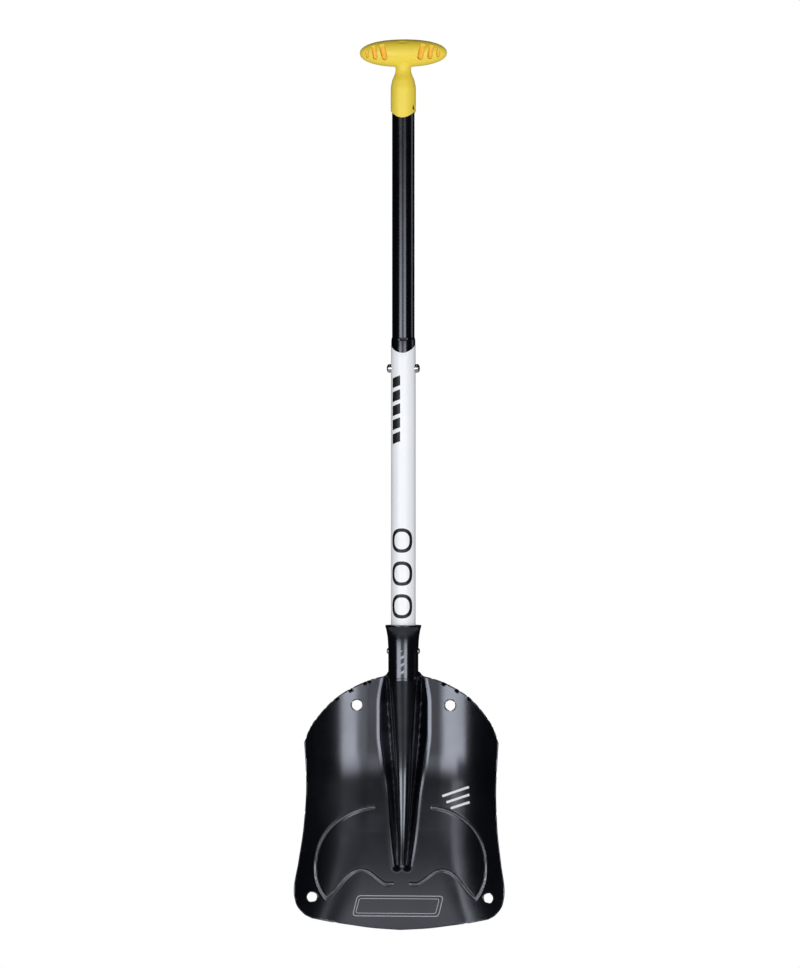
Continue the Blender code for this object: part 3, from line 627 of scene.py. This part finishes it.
def sheet_object():
    verts, faces, normals, painted_crest_highlight = blade_sheet()
    me = bpy.data.meshes.new("blade_sheet")
    me.from_pydata(verts, [], faces)
    # only the rim strips may still face the wrong way
    bm = bmesh.new()
    bm.from_mesh(me)
    bmesh.ops.recalc_face_normals(bm, faces=bm.faces)
    bm.to_mesh(me)
    bm.free()
    me.materials.append(BLADE_BLACK)
    me.attributes.new("painted_crest_highlight", "FLOAT", "POINT").data.foreach_set("value", painted_crest_highlight.astype(np.float32))
    me.shade_smooth()
    me.normals_split_custom_set_from_vertices(normals)
    ob = bpy.data.objects.new("blade_sheet", me)
    COLLECTION.objects.link(ob)
    return ob


sheet = sheet_object()
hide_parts("blade")
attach(sheet, "blade_body")


def socket_object():
    """The rolled socket: flared rim, straight bore, a seam behind, and a slanted lower end."""
    outer = [(17.2, 314.0), (17.32, 319.5), (17.55, 324.5), (17.75, 328.0), (18.0, 331.0), (18.33, 333.8), (18.7, 336.0), (19.1, 338.3), (19.5, 340.3), (20.0, 342.0), (20.4, 343.4), (20.6, 344.6), (20.58, 345.3), (20.3, 345.75)]
    inner = [(18.5, 345.75), (18.2, 345.4), (17.9, 344.0), (17.5, 342.2), (16.9, 340.4), (16.0, 338.0), (15.3, 335.0), (14.9, 332.0), (14.65, 329.0), (14.5, 326.0)]
    half_seam = 0.75 / 17.2
    seg = 150
    angles = [math.pi / 2 + half_seam + (2 * math.pi - 2 * half_seam) * k / seg for k in range(seg + 1)]
    verts, rows = [], []
    for a in angles:
        c, s = math.cos(a), math.sin(a)
        low = 272.0 - 17.2 * s * math.tan(math.radians(38))
        low_in = 272.0 - 14.5 * s * math.tan(math.radians(38))
        col = [(16.9, low), (17.2, low + 0.35)] + [(17.2, low + 0.35 + (314.0 - low - 0.35) * k / 6) for k in range(1, 6)] + outer + inner
        col += [(14.5, low_in + (326.0 - low_in) * (1 - k / 6)) for k in range(1, 6)] + [(14.5, low_in + 0.35), (14.8, low_in + 0.1)]
        rows.append(list(range(len(verts), len(verts) + len(col))))
        verts += [(r * c * MM, SY + r * s * MM, z * MM) for r, z in col]
    n = len(rows[0])
    faces = []
    for a, b in zip(rows, rows[1:]):
        faces += [(a[k], a[(k + 1) % n], b[(k + 1) % n], b[k]) for k in range(n)]
    faces += [tuple(rows[0]), tuple(reversed(rows[-1]))]
    ob = make("socket", verts, faces, BLADE_BLACK)
    bm = bmesh.new()
    bm.from_mesh(ob.data)
    bmesh.ops.recalc_face_normals(bm, faces=bm.faces)
    bm.to_mesh(ob.data)
    bm.free()
    ob.data.shade_smooth()
    ob.data.set_sharp_from_angle(angle=math.radians(35))
    drill(ob, 3.8, (0, SY, 0.316), sharp=35)
    return ob


socket = socket_object()
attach(socket, "blade_body")

# ------------------------------------------------------------------ shaft
AXIS = Matrix.Translation((0, SY, 0))


def mouth(x, y, z):
    """The white tube's mouth, and the sleeve over it, are cut to a U: lowest in front and behind."""
    if not 0.6555 < z < 0.6575:
        return (x, y, z)
    u = min(1.0, abs(x) / (0.95 * 0.0141))
    return (x, y, z + 0.0085 * (0.5 * u * u + 0.5 * (1 - math.sqrt(1 - u * u))))


R, r = 14.1, 13.2
points = [(R, 288.6), (R, 400), (R, 500), (R, 600), (R, 644.6), (R, 650.0), (R, 656.2), (R - 0.15, 656.6), (r + 0.15, 656.6), (r, 656.3), (r, 650.0), (r, 500), (r, 288.0), (R - 0.5, 288.0)]
lower_tube = lathe("lower_tube_paint", points, WHITE, 160, 30, AXIS, mouth)
drill(lower_tube, 5.35, (0, SY, 0.639))
drill(lower_tube, 3.75, (0, SY, 0.316))
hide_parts("lower_tube")
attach(lower_tube, "lower_shaft")

rc = 13.15
points = [(13.8, 656.9), (13.8, 661.0), (13.8, 669.6), (13.76, 670.6), (13.66, 671.6), (13.52, 672.6), (13.36, 673.4), (rc + 0.08, 674.0), (rc, 673.6), (rc, 656.9)]
collar = lathe("collar_sleeve", points, COLLAR_BLACK, 160, 40, AXIS, mouth)
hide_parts("guide_collar")
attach(collar, "lower_shaft")

R, r = 12.85, 11.65
points = [(R, 611.5), (R, 700), (R, 800), (R, 900), (R, 957.0), (r, 957.0), (r, 611.0), (R - 0.4, 611.0)]
upper_tube = lathe("upper_tube_anodised", points, TUBE_BLACK, 160, 30, AXIS)
drill(upper_tube, 5.3, (0, SY, 0.639))
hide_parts("upper_tube")
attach(upper_tube, "upper_shaft")


def button(name, node, side, z, radius, tip, flange_r, inner, body):
    """A turned snap button with a domed head and a shallow groove under it."""
    crown = 0.56 * radius
    pts = [(0.0, inner), (flange_r - 0.2, inner), (flange_r, inner + 0.2), (flange_r, inner + 0.8), (flange_r - 0.2, inner + 1.0), (radius, inner + 1.0), (radius, tip - crown - 0.9), (radius - 0.15, tip - crown - 0.65), (radius - 0.15, tip - crown - 0.45), (radius, tip - crown - 0.2)]
    for k in range(0, 12):
        a = math.pi / 2 * k / 12
        pts.append((radius * math.cos(a) ** 0.75, tip - crown * (1 - math.sin(a))))
    pts.append((0.0, tip))
    ob = lathe(name, pts, STEEL, 64, 40, Matrix.Translation((0, SY, z * MM)) @ Matrix.Rotation(side * math.pi / 2, 4, "Y"))
    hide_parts(node)
    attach(ob, body)
    return ob


for side, word in ((-1, "left"), (1, "right")):
    button(f"lower_snap_{word}", f"lower_button_{word}", side, 316.0, 3.4, 19.1, 4.8, 10.6, f"lower_button_{word}")
    up = button(f"upper_snap_{word}", f"upper_button_{word}", side, 639.0, 5.0, 18.95, 6.3, 8.2, f"upper_button_{word}")
    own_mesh(up)



def spring_arm(name, node, side, arm_x, z_free, z_bend, width, thick, body):
    """One arm of a V spring with its half of the round bend."""
    rb = 3.0
    path = [(arm_x, z_free - 4.0), (arm_x, z_free + 5.0)] + [(rb * math.cos(math.pi / 2 * k / 10), z_bend - rb + rb * math.sin(math.pi / 2 * k / 10)) for k in range(11)]
    verts, faces = [], []
    for i, (x, z) in enumerate(path):
        a, b = path[max(i - 1, 0)], path[min(i + 1, len(path) - 1)]
        d = Vector((b[0] - a[0], b[1] - a[1])).normalized() if i < len(path) - 1 else Vector((-1, 0))
        nx, nz = -d.y * thick / 2, d.x * thick / 2
        half = width / 2 * (0.8 if i == 0 else 1.0)
        for px, py, pz in ((x + nx, -half, z + nz), (x - nx, -half, z - nz), (x - nx, half, z - nz), (x + nx, half, z + nz)):
            verts.append((side * px * MM, SY + py * MM, pz * MM))
    for i in range(len(path) - 1):
        for k in range(4):
            faces.append((4 * i + k, 4 * i + (k + 1) % 4, 4 * i + 4 + (k + 1) % 4, 4 * i + 4 + k))
    faces += [(0, 1, 2, 3), tuple(range(4 * len(path) - 4, 4 * len(path)))]
    ob = make(name, verts, faces, SPRING, smooth=False)
    bm = bmesh.new()
    bm.from_mesh(ob.data)
    bmesh.ops.recalc_face_normals(bm, faces=bm.faces)
    bm.to_mesh(ob.data)
    bm.free()
    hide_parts(node)
    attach(ob, body)
    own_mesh(ob)
    return ob


for side, word in ((-1, "left"), (1, "right")):
    spring_arm(f"lower_spring_arm_{word}", "lower_spring", side, 9.95, 316.0, 350.0, 7.0, 0.6, "lower_shaft")
    spring_arm(f"upper_spring_arm_{word}", "upper_spring", side, 7.55, 639.0, 674.0, 8.0, 0.6, "upper_shaft")

# ------------------------------------------------------------------ grip: a solid described by a distance function, and meshed
BAR_Z, BAR_A, BAR_UP, BAR_DOWN, BAR_DEPTH = 999.6, 50.0, 15.4, 16.0, 14.4
NECK_PROFILE = [(924.0, 14.4), (958.5, 14.4), (962.0, 14.0), (965.5, 13.3), (968.6, 12.6), (971.0, 11.6), (973.2, 10.6), (975.5, 9.7), (979.0, 8.9), (984.0, 8.8), (1000.0, 8.9)]
SLOTS = [(21.9, 1000.2, 9.8, 3.3, 12.6, 8.5), (32.2, 999.8, 8.4, 2.7, 9.0, 7.0), (40.8, 998.3, 4.6, 1.9, 3.0, 4.5)]
PIN_DIRECTION = (math.sin(math.radians(65)), -math.cos(math.radians(65)))


def smin(a, b, k):
    h = np.clip(0.5 + 0.5 * (b - a) / k, 0, 1)
    return b * (1 - h) + a * h - k * h * (1 - h)


def grip_field(x, y, z, slots=True):
    """Signed distance, roughly, to the grip's surface in millimetres about the shaft axis; negative inside."""
    zz = z - BAR_Z
    up = np.where(zz > 0, BAR_UP, BAR_DOWN)
    q = np.sqrt((y / BAR_DEPTH) ** 2 + (zz / up) ** 2) + 1e-6
    u = np.abs(x) / BAR_A + 1e-6
    F = q**2.15 + u**2.25 - 1
    g = np.sqrt((2.25 * u**1.25 / BAR_A) ** 2 + (2.15 * q**1.15) ** 2 * (y**2 / BAR_DEPTH**4 + zz**2 / up**4) / q**2)
    bar = F / np.maximum(g, 0.012)
    prof = np.array(through(NECK_PROFILE, 1.0))
    rr = np.interp(z, prof[:, 0], prof[:, 1])
    rad = np.hypot(x, y)
    neck = (rad - rr) * 0.87
    neck = np.maximum(neck, z - 1000.0)
    lip = 925.0 + 8.0 * np.clip(np.abs(x) / 14.4, 0, 1) ** 2
    neck = -smin(-neck, -((lip - z) * 0.8), 0.8)
    solid = smin(bar, neck, 2.2)
    # shallow thumb dish on the upper front of the bar
    dish = np.sqrt((x / 11.5) ** 2 + ((y + 0.66 * (BAR_DEPTH + 4.3)) / 5.0) ** 2 + ((z - BAR_Z - 0.75 * (BAR_UP + 4.3)) / 5.0) ** 2 + 1e-9)
    solid = -smin(-solid, (dish - 1) * 5.0, 0.5)
    for side in (-1, 1) if slots else ():
        for sx, sz, sh, sw, lean, deep in SLOTS:
            a = math.radians(lean) * side
            lx = (x - side * sx) * math.cos(a) - (z - sz) * math.sin(a)
            lz = (x - side * sx) * math.sin(a) + (z - sz) * math.cos(a)
            # a slot with round ends, tapering a little towards its floor
            surface = BAR_DEPTH * np.clip(1 - (abs(sx) / BAR_A) ** 2.25, 0, 1) ** (1 / 2.15)
            w = sw - 0.10 * np.clip(surface - np.abs(y), 0, 10)
            d2 = np.hypot(lx, np.maximum(np.abs(lz) - (sh - sw), 0)) - w
            # the floor rises towards the top end, and the slot runs out there
            share = np.clip((sh - lz) / (2 * sh), 0, 1)
            floor = (surface - 1.8 - (deep - 1.8) * np.sqrt(share)) - np.abs(y)
            pocket = np.maximum(d2, floor)
            solid = -smin(-solid, pocket, 0.55)
    across = np.hypot(x * PIN_DIRECTION[1] - y * PIN_DIRECTION[0], z - 936.5) - 2.9
    along = 11.5 - np.abs(x * PIN_DIRECTION[0] + y * PIN_DIRECTION[1])
    solid = -smin(-solid, np.maximum(across, along), 0.4)
    return solid


def surface_net(field, low, high, step):
    """Meshes field's zero surface, with each vertex moved onto it and given the field's own normal."""
    ax = [np.arange(a, b + step, step) for a, b in zip(low, high)]
    X, Y, Z = np.meshgrid(*ax, indexing="ij")
    F = field(X, Y, Z)
    S = F < 0
    nx, ny, nz = (d - 1 for d in F.shape)
    corner = np.zeros((nx, ny, nz), int)
    for i in (0, 1):
        for j in (0, 1):
            for k in (0, 1):
                corner += S[i : nx + i, j : ny + j, k : nz + k]
    active = (corner > 0) & (corner < 8)
    ids = -np.ones((nx, ny, nz), int)
    ids[active] = np.arange(active.sum())
    I, J, K = np.nonzero(active)
    total, count = np.zeros((len(I), 3)), np.zeros(len(I))
    for axis in range(3):
        for b in (0, 1):
            for c in (0, 1):
                o0 = [0, 0, 0]
                others = [q for q in range(3) if q != axis]
                o0[others[0]], o0[others[1]] = b, c
                o1 = list(o0)
                o1[axis] = 1
                f0 = F[I + o0[0], J + o0[1], K + o0[2]]
                f1 = F[I + o1[0], J + o1[1], K + o1[2]]
                cross = (f0 < 0) != (f1 < 0)
                t = np.where(cross, f0 / np.where(cross, f0 - f1, 1), 0)
                p = np.stack([I + o0[0], J + o0[1], K + o0[2]], 1).astype(float)
                p[:, axis] += t
                total[cross] += p[cross]
                count[cross] += 1
    P = total / count[:, None] * step + np.array(low)

    def grad(p, e=0.08):
        out = []
        for a in range(3):
            d = np.zeros(3)
            d[a] = e
            out.append((field(*(p + d).T) - field(*(p - d).T)) / (2 * e))
        return np.stack(out, 1)

    for _ in range(3):
        f = field(*P.T)
        g = grad(P)
        move = (f / np.maximum((g**2).sum(1), 0.2))[:, None] * g
        length = np.linalg.norm(move, axis=1)[:, None]
        P = P - move * np.minimum(1, 0.4 * step / np.maximum(length, 1e-9))
    N = grad(P, 0.12)
    N /= np.maximum(np.linalg.norm(N, axis=1), 1e-9)[:, None]
    faces = []
    for axis in range(3):
        b, c = [q for q in range(3) if q != axis]
        sl0 = [slice(None)] * 3
        sl1 = [slice(None)] * 3
        sl0[axis], sl1[axis] = slice(0, -1), slice(1, None)
        sl0[b] = sl1[b] = slice(1, -1)
        sl0[c] = sl1[c] = slice(1, -1)
        s0, s1 = S[tuple(sl0)], S[tuple(sl1)]
        for rising in (True, False):
            where = np.argwhere((~s0 & s1) if rising else (s0 & ~s1))
            if not len(where):
                continue
            where[:, b] += 1
            where[:, c] += 1
            quad = []
            for db, dc in ((0, 0), (1, 0), (1, 1), (0, 1)):
                q = where.copy()
                q[:, b] -= db
                q[:, c] -= dc
                quad.append(ids[q[:, 0], q[:, 1], q[:, 2]])
            quad = np.stack(quad, 1)
            flip = rising ^ (axis == 1)
            faces.append(quad[:, ::-1] if flip else quad)
    return P, np.concatenate(faces), N


P, quads, N = surface_net(grip_field, (-51.0, -15.6, 922.6), (51.0, 15.6, 1017.0), 0.75)
# painted shade mask: how far into a slot each point lies, which deepens the yellow to orange there
deep = np.clip((-grip_field(*P.T, slots=False) - 0.3) / 1.6, 0, 1)
P = P * MM + np.array([0, SY, 0])
grip = make("grip_moulding", P.tolist(), quads.tolist(), YELLOW, normals=N.tolist())
grip.data.attributes.new("deep", "FLOAT", "POINT").data.foreach_set("value", deep.astype(np.float32))
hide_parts("grip")
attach(grip, "upper_shaft")

pin_turn = Matrix.Translation((0, SY, 0.9365)) @ Matrix.Rotation(math.radians(-25.0), 4, "Z") @ Matrix.Rotation(math.pi / 2, 4, "Y")
pin = lathe("grip_roll_pin", [(0.0, -12.6), (1.2, -12.6), (1.3, -13.3), (2.2, -13.3), (2.5, -13.0), (2.5, 13.0), (2.2, 13.3), (1.3, 13.3), (1.2, 12.6), (0.0, 12.6)], STEEL, 48, 35, pin_turn)
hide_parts("grip_pin")
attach(pin, "upper_shaft")


# ------------------------------------------------------------------ plain printed marks
def wrapped(name, shapes, radius_mm, mat, body):
    """Flat shapes, each a list of quads of (x, z) corners in millimetres, laid on the front of a tube."""
    verts, faces = [], []
    for quad in shapes:
        base = len(verts)
        for x, z in quad:
            a = x / radius_mm
            verts.append((radius_mm * math.sin(a) * MM, SY - radius_mm * math.cos(a) * MM, z * MM))
        faces.append(tuple(range(base, base + len(quad))))
    ob = make(name, verts, faces, mat)
    bm = bmesh.new()
    bm.from_mesh(ob.data)
    bmesh.ops.remove_doubles(bm, verts=bm.verts, dist=1e-6)
    for f in bm.faces:
        if f.normal.y > 0:
            f.normal_flip()
    bm.to_mesh(ob.data)
    bm.free()
    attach(ob, body)
    return ob


def slanted_bar(x0, x1, z0, z1, slant, n=14):
    """A parallelogram from x0 to x1 whose z edges rise by slant across it, in strips."""
    quads = []
    for k in range(n):
        a, b = x0 + (x1 - x0) * k / n, x0 + (x1 - x0) * (k + 1) / n
        sa, sb = slant * k / n, slant * (k + 1) / n
        quads.append([(a, z0 + sa), (b, z0 + sb), (b, z1 + sb), (a, z1 + sa)])
    return quads


def oval_ring(cx, cz, w, h, stroke, n=72, strips=5):
    """A plain oval outline, a little squarer than an ellipse."""
    def at(k, t):
        a = 2 * math.pi * k / n
        c, s = math.cos(a), math.sin(a)
        return (cx + (w - stroke * t) * math.copysign(abs(c) ** 0.85, c), cz + (h - stroke * t) * math.copysign(abs(s) ** 0.85, s))

    return [[at(k, j / strips), at(k + 1, j / strips), at(k + 1, (j + 1) / strips), at(k, (j + 1) / strips)] for k in range(n) for j in range(strips)]


bars = []
for k in range(5):
    z0 = 552.0 + 16.0 * k
    bars += slanted_bar(-13.3, -2.3, z0, z0 + 11.4, 3.6)
wrapped("print_bars", bars, 14.16, PRINT_BLACK, "lower_shaft")
rings = []
for cz in (442.4, 404.7, 367.4):
    rings += oval_ring(-0.6, cz, 13.3, 13.9, 3.9)
wrapped("print_rings", rings, 14.16, PRINT_BLACK, "lower_shaft")
ticks = []
for k in range(5):
    z0 = 289.5 + 8.6 * k
    ticks += slanted_bar(-1.6, 2.6, z0, z0 + 3.0, 2.4, 8)
wrapped("print_ticks", ticks, 17.26, PRINT_GREY, "blade_body")


def on_blade(name, shapes, mat, lift=0.05):
    """Flat shapes laid on the front of the blade."""
    verts, faces = [], []
    for quad in shapes:
        base = len(verts)
        p = np.array(quad, float)
        y = front_y(p[:, 0], p[:, 1]) - lift
        verts += [(x * MM, SY + yy * MM, z * MM) for (x, z), yy in zip(quad, y)]
        faces.append(tuple(range(base, base + len(quad))))
    ob = make(name, verts, faces, mat)
    bm = bmesh.new()
    bm.from_mesh(ob.data)
    bmesh.ops.remove_doubles(bm, verts=bm.verts, dist=1e-6)
    for f in bm.faces:
        if f.normal.y > 0:
            f.normal_flip()
    bm.to_mesh(ob.data)
    bm.free()
    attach(ob, "blade_body")
    return ob


def stroke_along(line, width, closed=False):
    """Quads along a line of points."""
    p = np.array(line, float)
    if closed:
        p = np.vstack([p, p[:1]])
    d = np.gradient(p, axis=0)
    if closed:
        d[0] = d[-1] = p[1] - p[-2]
    n = np.stack([-d[:, 1], d[:, 0]], 1) / np.maximum(np.hypot(d[:, 0], d[:, 1]), 1e-9)[:, None]
    a, b = p + n * width / 2, p - n * width / 2
    return [[tuple(a[k]), tuple(a[k + 1]), tuple(b[k + 1]), tuple(b[k])] for k in range(len(p) - 1)]


def rounded_outline(x0, x1, z0, z1, slant, radius, step=1.2):
    corners = [(x0, z0), (x1, z0), (x1 + slant, z1), (x0 + slant, z1)]
    pts = []
    for i in range(4):
        p, a, b = (np.array(corners[j % 4], float) for j in (i, i - 1, i + 1))
        da, db = (a - p) / np.linalg.norm(a - p), (b - p) / np.linalg.norm(b - p)
        for k in range(6):
            t = k / 5
            pts.append(tuple((1 - t) ** 2 * (p + da * radius) + 2 * t * (1 - t) * p + t * t * (p + db * radius)))
        q = np.array(corners[(i + 1) % 4], float)
        length = np.linalg.norm(q - p) - 2 * radius
        m = int(length / step)
        for k in range(1, m):
            pts.append(tuple(p + db * (radius + length * k / m)))
    return pts


on_blade("print_label_outline", stroke_along(rounded_outline(-55.0, 43.0, 15.5, 38.0, 5.0, 4.0), 0.9, True) + stroke_along(rounded_outline(-51.5, 39.8, 18.6, 34.9, 3.8, 2.6), 0.7, True), PRINT_GREY)
chips = []
for (x0, z0), (x1, z1) in (((45.0, 150.5), (76.0, 161.5)), ((50.0, 143.6), (76.5, 152.8)), ((55.0, 137.0), (77.0, 144.4))):
    n = 16
    line = [(x0 + (x1 - x0) * k / n, z0 + (z1 - z0) * k / n) for k in range(n + 1)]
    chips += stroke_along(line, 2.7)
on_blade("print_chips", chips, PRINT_PALE)


# ------------------------------------------------------------------ studio
def emission(name, strength, colour=(1, 1, 1), fade=None):
    """A light panel's material. fade: (low, high) shares of its height where its top dims to nothing, or four of them for a dip."""
    m = bpy.data.materials.new(name)
    m.use_nodes = True
    t = m.node_tree
    t.nodes.clear()
    out = t.nodes.new("ShaderNodeOutputMaterial")
    e = t.nodes.new("ShaderNodeEmission")
    e.inputs["Color"].default_value = (*colour, 1)
    e.inputs["Strength"].default_value = strength
    t.links.new(e.outputs[0], out.inputs[0])
    if fade:
        co = t.nodes.new("ShaderNodeTexCoord")
        sep = t.nodes.new("ShaderNodeSeparateXYZ")
        t.links.new(co.outputs["Generated"], sep.inputs[0])
        value = None
        for axis, a, b, c, d in fade:
            mr = t.nodes.new("ShaderNodeMapRange")
            mr.interpolation_type = "SMOOTHSTEP"
            t.links.new(sep.outputs[axis], mr.inputs["Value"])
            for key, v in (("From Min", a), ("From Max", b), ("To Min", c), ("To Max", d)):
                mr.inputs[key].default_value = v
            if value is None:
                value = mr.outputs[0]
            else:
                mu = t.nodes.new("ShaderNodeMath")
                mu.operation = "MULTIPLY"
                t.links.new(value, mu.inputs[0])
                t.links.new(mr.outputs[0], mu.inputs[1])
                value = mu.outputs[0]
        mu = t.nodes.new("ShaderNodeMath")
        mu.operation = "MULTIPLY"
        t.links.new(value, mu.inputs[0])
        mu.inputs[1].default_value = strength
        t.links.new(mu.outputs[0], e.inputs["Strength"])
    return m


def curved_panel(name, az0, az1, z0, z1, radius, mat, n=24):
    """A panel on a cylinder about the object, between two azimuths in degrees (0 is towards the camera, positive to the right)."""
    verts, faces, uv = [], [], []
    for k in range(n + 1):
        a = math.radians(az0 + (az1 - az0) * k / n)
        x, y = radius * math.sin(a), -radius * math.cos(a)
        verts += [(x, y, z0), (x, y, z1)]
    for k in range(n):
        faces.append((2 * k, 2 * k + 2, 2 * k + 3, 2 * k + 1))
    ob = make(name, verts, faces, mat, smooth=False)
    ob.visible_camera = False
    ob.visible_shadow = False
    return ob


def flat_panel(name, centre, size, target, mat, **visible):
    verts = [(-0.5, -0.5, 0), (0.5, -0.5, 0), (0.5, 0.5, 0), (-0.5, 0.5, 0)]
    verts = [(x * size[0], y * size[1], z) for x, y, z in verts]
    q = (Vector(target) - Vector(centre)).to_track_quat("Z", "Y").to_matrix().to_4x4()
    m = Matrix.Translation(centre) @ q
    ob = make(name, [tuple(m @ Vector(v)) for v in verts], [(0, 1, 2, 3)], mat, smooth=False)
    ob.visible_camera = False
    ob.visible_shadow = False
    for k, v in visible.items():
        setattr(ob, k, v)
    return ob


# glossy panels, by azimuth from the camera's own side: two tall ones with a weak strip between them, dark beyond, and a soft glow above
VIEW = 5.5  # the camera's azimuth in degrees: it looks past the shaft from a little to the right
FAR = 5.5  # the panels' distance, so that the shaft and the leaning blade see different parts of them
LOW, MID, TOP = -0.5, 0.50, 1.30


def glow(name, az0, az1, z0, z1, strength, fade=None, **visible):
    ob = curved_panel(name, az0 + VIEW, az1 + VIEW, z0, z1, FAR, emission(name, strength, fade=fade))
    ob.visible_diffuse = False
    for k, v in visible.items():
        setattr(ob, k, v)
    return ob


UP = [("Z", 0.375, 1.0, 1, 0)]
RISE = [("Z", 0.14, 0.60, 0.15, 1), ("Z", 0.14, 0.60, 0.22, 1)]
glow("panel_left_low", -50, -20, LOW, MID, 6.2)
glow("panel_left_high", -39.5, -16, MID, TOP, 5.8, UP)
glow("panel_right_low", 8, 28, LOW, MID, 6.2)
glow("panel_right_high", 4, 26.5, MID, TOP, 5.4, UP)
glow("panel_middle_low_a", -20, -15, LOW, MID, 2.0)
glow("panel_middle_low_b", -15, -7, LOW, MID, 0.5)
glow("panel_middle_low_c", -7, 8, LOW, MID, 1.7)
glow("panel_middle_high", -16, 4, MID, TOP, 1.7, UP)
# the blade is a bowl, so each of its lower sides mirrors the panel across from it
glow("streak_left", -50, -34, 1.55, 2.35, 6.0, [("Z", 0.0, 0.42, 0.03, 1)])
glow("streak_right", 27, 43, 1.90, 2.90, 3.2, [("Z", 0.0, 0.4, 0.03, 1)])
glow("above_middle", -30, 8, 1.45, 3.6, 1.35, RISE)
glow("above_right", 8, 26, 1.45, 3.6, 1.2, RISE)
glow("edge_right", 90, 112, 0.5, 1.6, 0.9)

# a dark flag over the grip keeps its upper rim from washing out
flag = curved_panel("flag", 0, 359.9, 1.28, 1.282, 0.3, emission("flag", 0.0))
bm = bmesh.new()
bmesh.ops.create_circle(bm, cap_ends=True, segments=48, radius=0.45)
bmesh.ops.translate(bm, vec=(0, 0, 1.28), verts=bm.verts)
bm.to_mesh(flag.data)
bm.free()
flag.visible_glossy = False
flag.visible_diffuse = True
flag.visible_shadow = False


def area_light(name, centre, target, size, watts, glossy=False):
    data = bpy.data.lights.new(name, "AREA")
    data.shape = "RECTANGLE"
    data.size, data.size_y = size
    data.energy = watts
    data.color = (0.96, 0.98, 1.0)
    ob = bpy.data.objects.new(name, data)
    COLLECTION.objects.link(ob)
    ob.matrix_world = Matrix.Translation(centre) @ (Vector(centre) - Vector(target)).to_track_quat("Z", "Y").to_matrix().to_4x4()
    ob.visible_glossy = glossy
    ob.visible_camera = False
    return ob


area_light("fill_front", (0.4, -4.2, 0.25), (0, 0, 0.55), (2.2, 1.2), 80)
area_light("fill_grip", (-0.3, -2.4, 0.55), (0, 0, 1.0), (0.9, 0.5), 8)
area_light("fill_right", (2.6, -1.9, 0.5), (0, 0, 0.6), (0.8, 1.2), 5)

world = bpy.data.worlds.new("studio")
bpy.context.scene.world = world
world.use_nodes = True
wt = world.node_tree
wt.nodes.clear()
w_out = wt.nodes.new("ShaderNodeOutputWorld")
w_mix = wt.nodes.new("ShaderNodeMixShader")
w_path = wt.nodes.new("ShaderNodeLightPath")
w_dark = wt.nodes.new("ShaderNodeBackground")
w_dark.inputs["Color"].default_value = (0.9, 0.95, 1.0, 1)
w_dark.inputs["Strength"].default_value = 0.012
w_white = wt.nodes.new("ShaderNodeBackground")
w_white.inputs["Color"].default_value = (1, 1, 1, 1)
w_white.inputs["Strength"].default_value = 1.0
wt.links.new(w_path.outputs["Is Camera Ray"], w_mix.inputs[0])
w_soft = wt.nodes.new("ShaderNodeBackground")
w_soft.inputs["Color"].default_value = (0.96, 0.98, 1.0, 1)
w_soft.inputs["Strength"].default_value = 0.44
w_second = wt.nodes.new("ShaderNodeMixShader")
wt.links.new(w_path.outputs["Is Diffuse Ray"], w_second.inputs[0])
wt.links.new(w_dark.outputs[0], w_second.inputs[1])
wt.links.new(w_soft.outputs[0], w_second.inputs[2])
wt.links.new(w_second.outputs[0], w_mix.inputs[1])
wt.links.new(w_white.outputs[0], w_mix.inputs[2])
wt.links.new(w_mix.outputs[0], w_out.inputs[0])

floor_mat = plastic("floor_pale", (0.78, 0.78, 0.78), (0.81, 0.81, 0.81), 0.7, 0.05)
bm = bmesh.new()
bmesh.ops.create_circle(bm, cap_ends=True, segments=96, radius=1.9)
bmesh.ops.translate(bm, vec=(0, 0, -0.25), verts=bm.verts)
me = bpy.data.meshes.new("floor")
bm.to_mesh(me)
bm.free()
me.materials.append(floor_mat)
floor = bpy.data.objects.new("floor", me)
COLLECTION.objects.link(floor)

camera_data = bpy.data.cameras.new("camera")
camera_data.lens = 200
camera_data.sensor_width = 36
camera_data.clip_end = 50
camera = bpy.data.objects.new("camera", camera_data)
COLLECTION.objects.link(camera)
turned = math.radians(VIEW)
right, ahead = Vector((math.cos(turned), math.sin(turned), 0)), Vector((-math.sin(turned), math.cos(turned), 0))
camera.location = Vector((0, SY, 0.5069)) - 0.0038 * right - 200 / 36 * 1.1064 * ahead
camera.rotation_euler = (math.pi / 2, 0, turned)
bpy.context.scene.camera = camera
bpy.context.scene.view_settings.view_transform = "Standard"
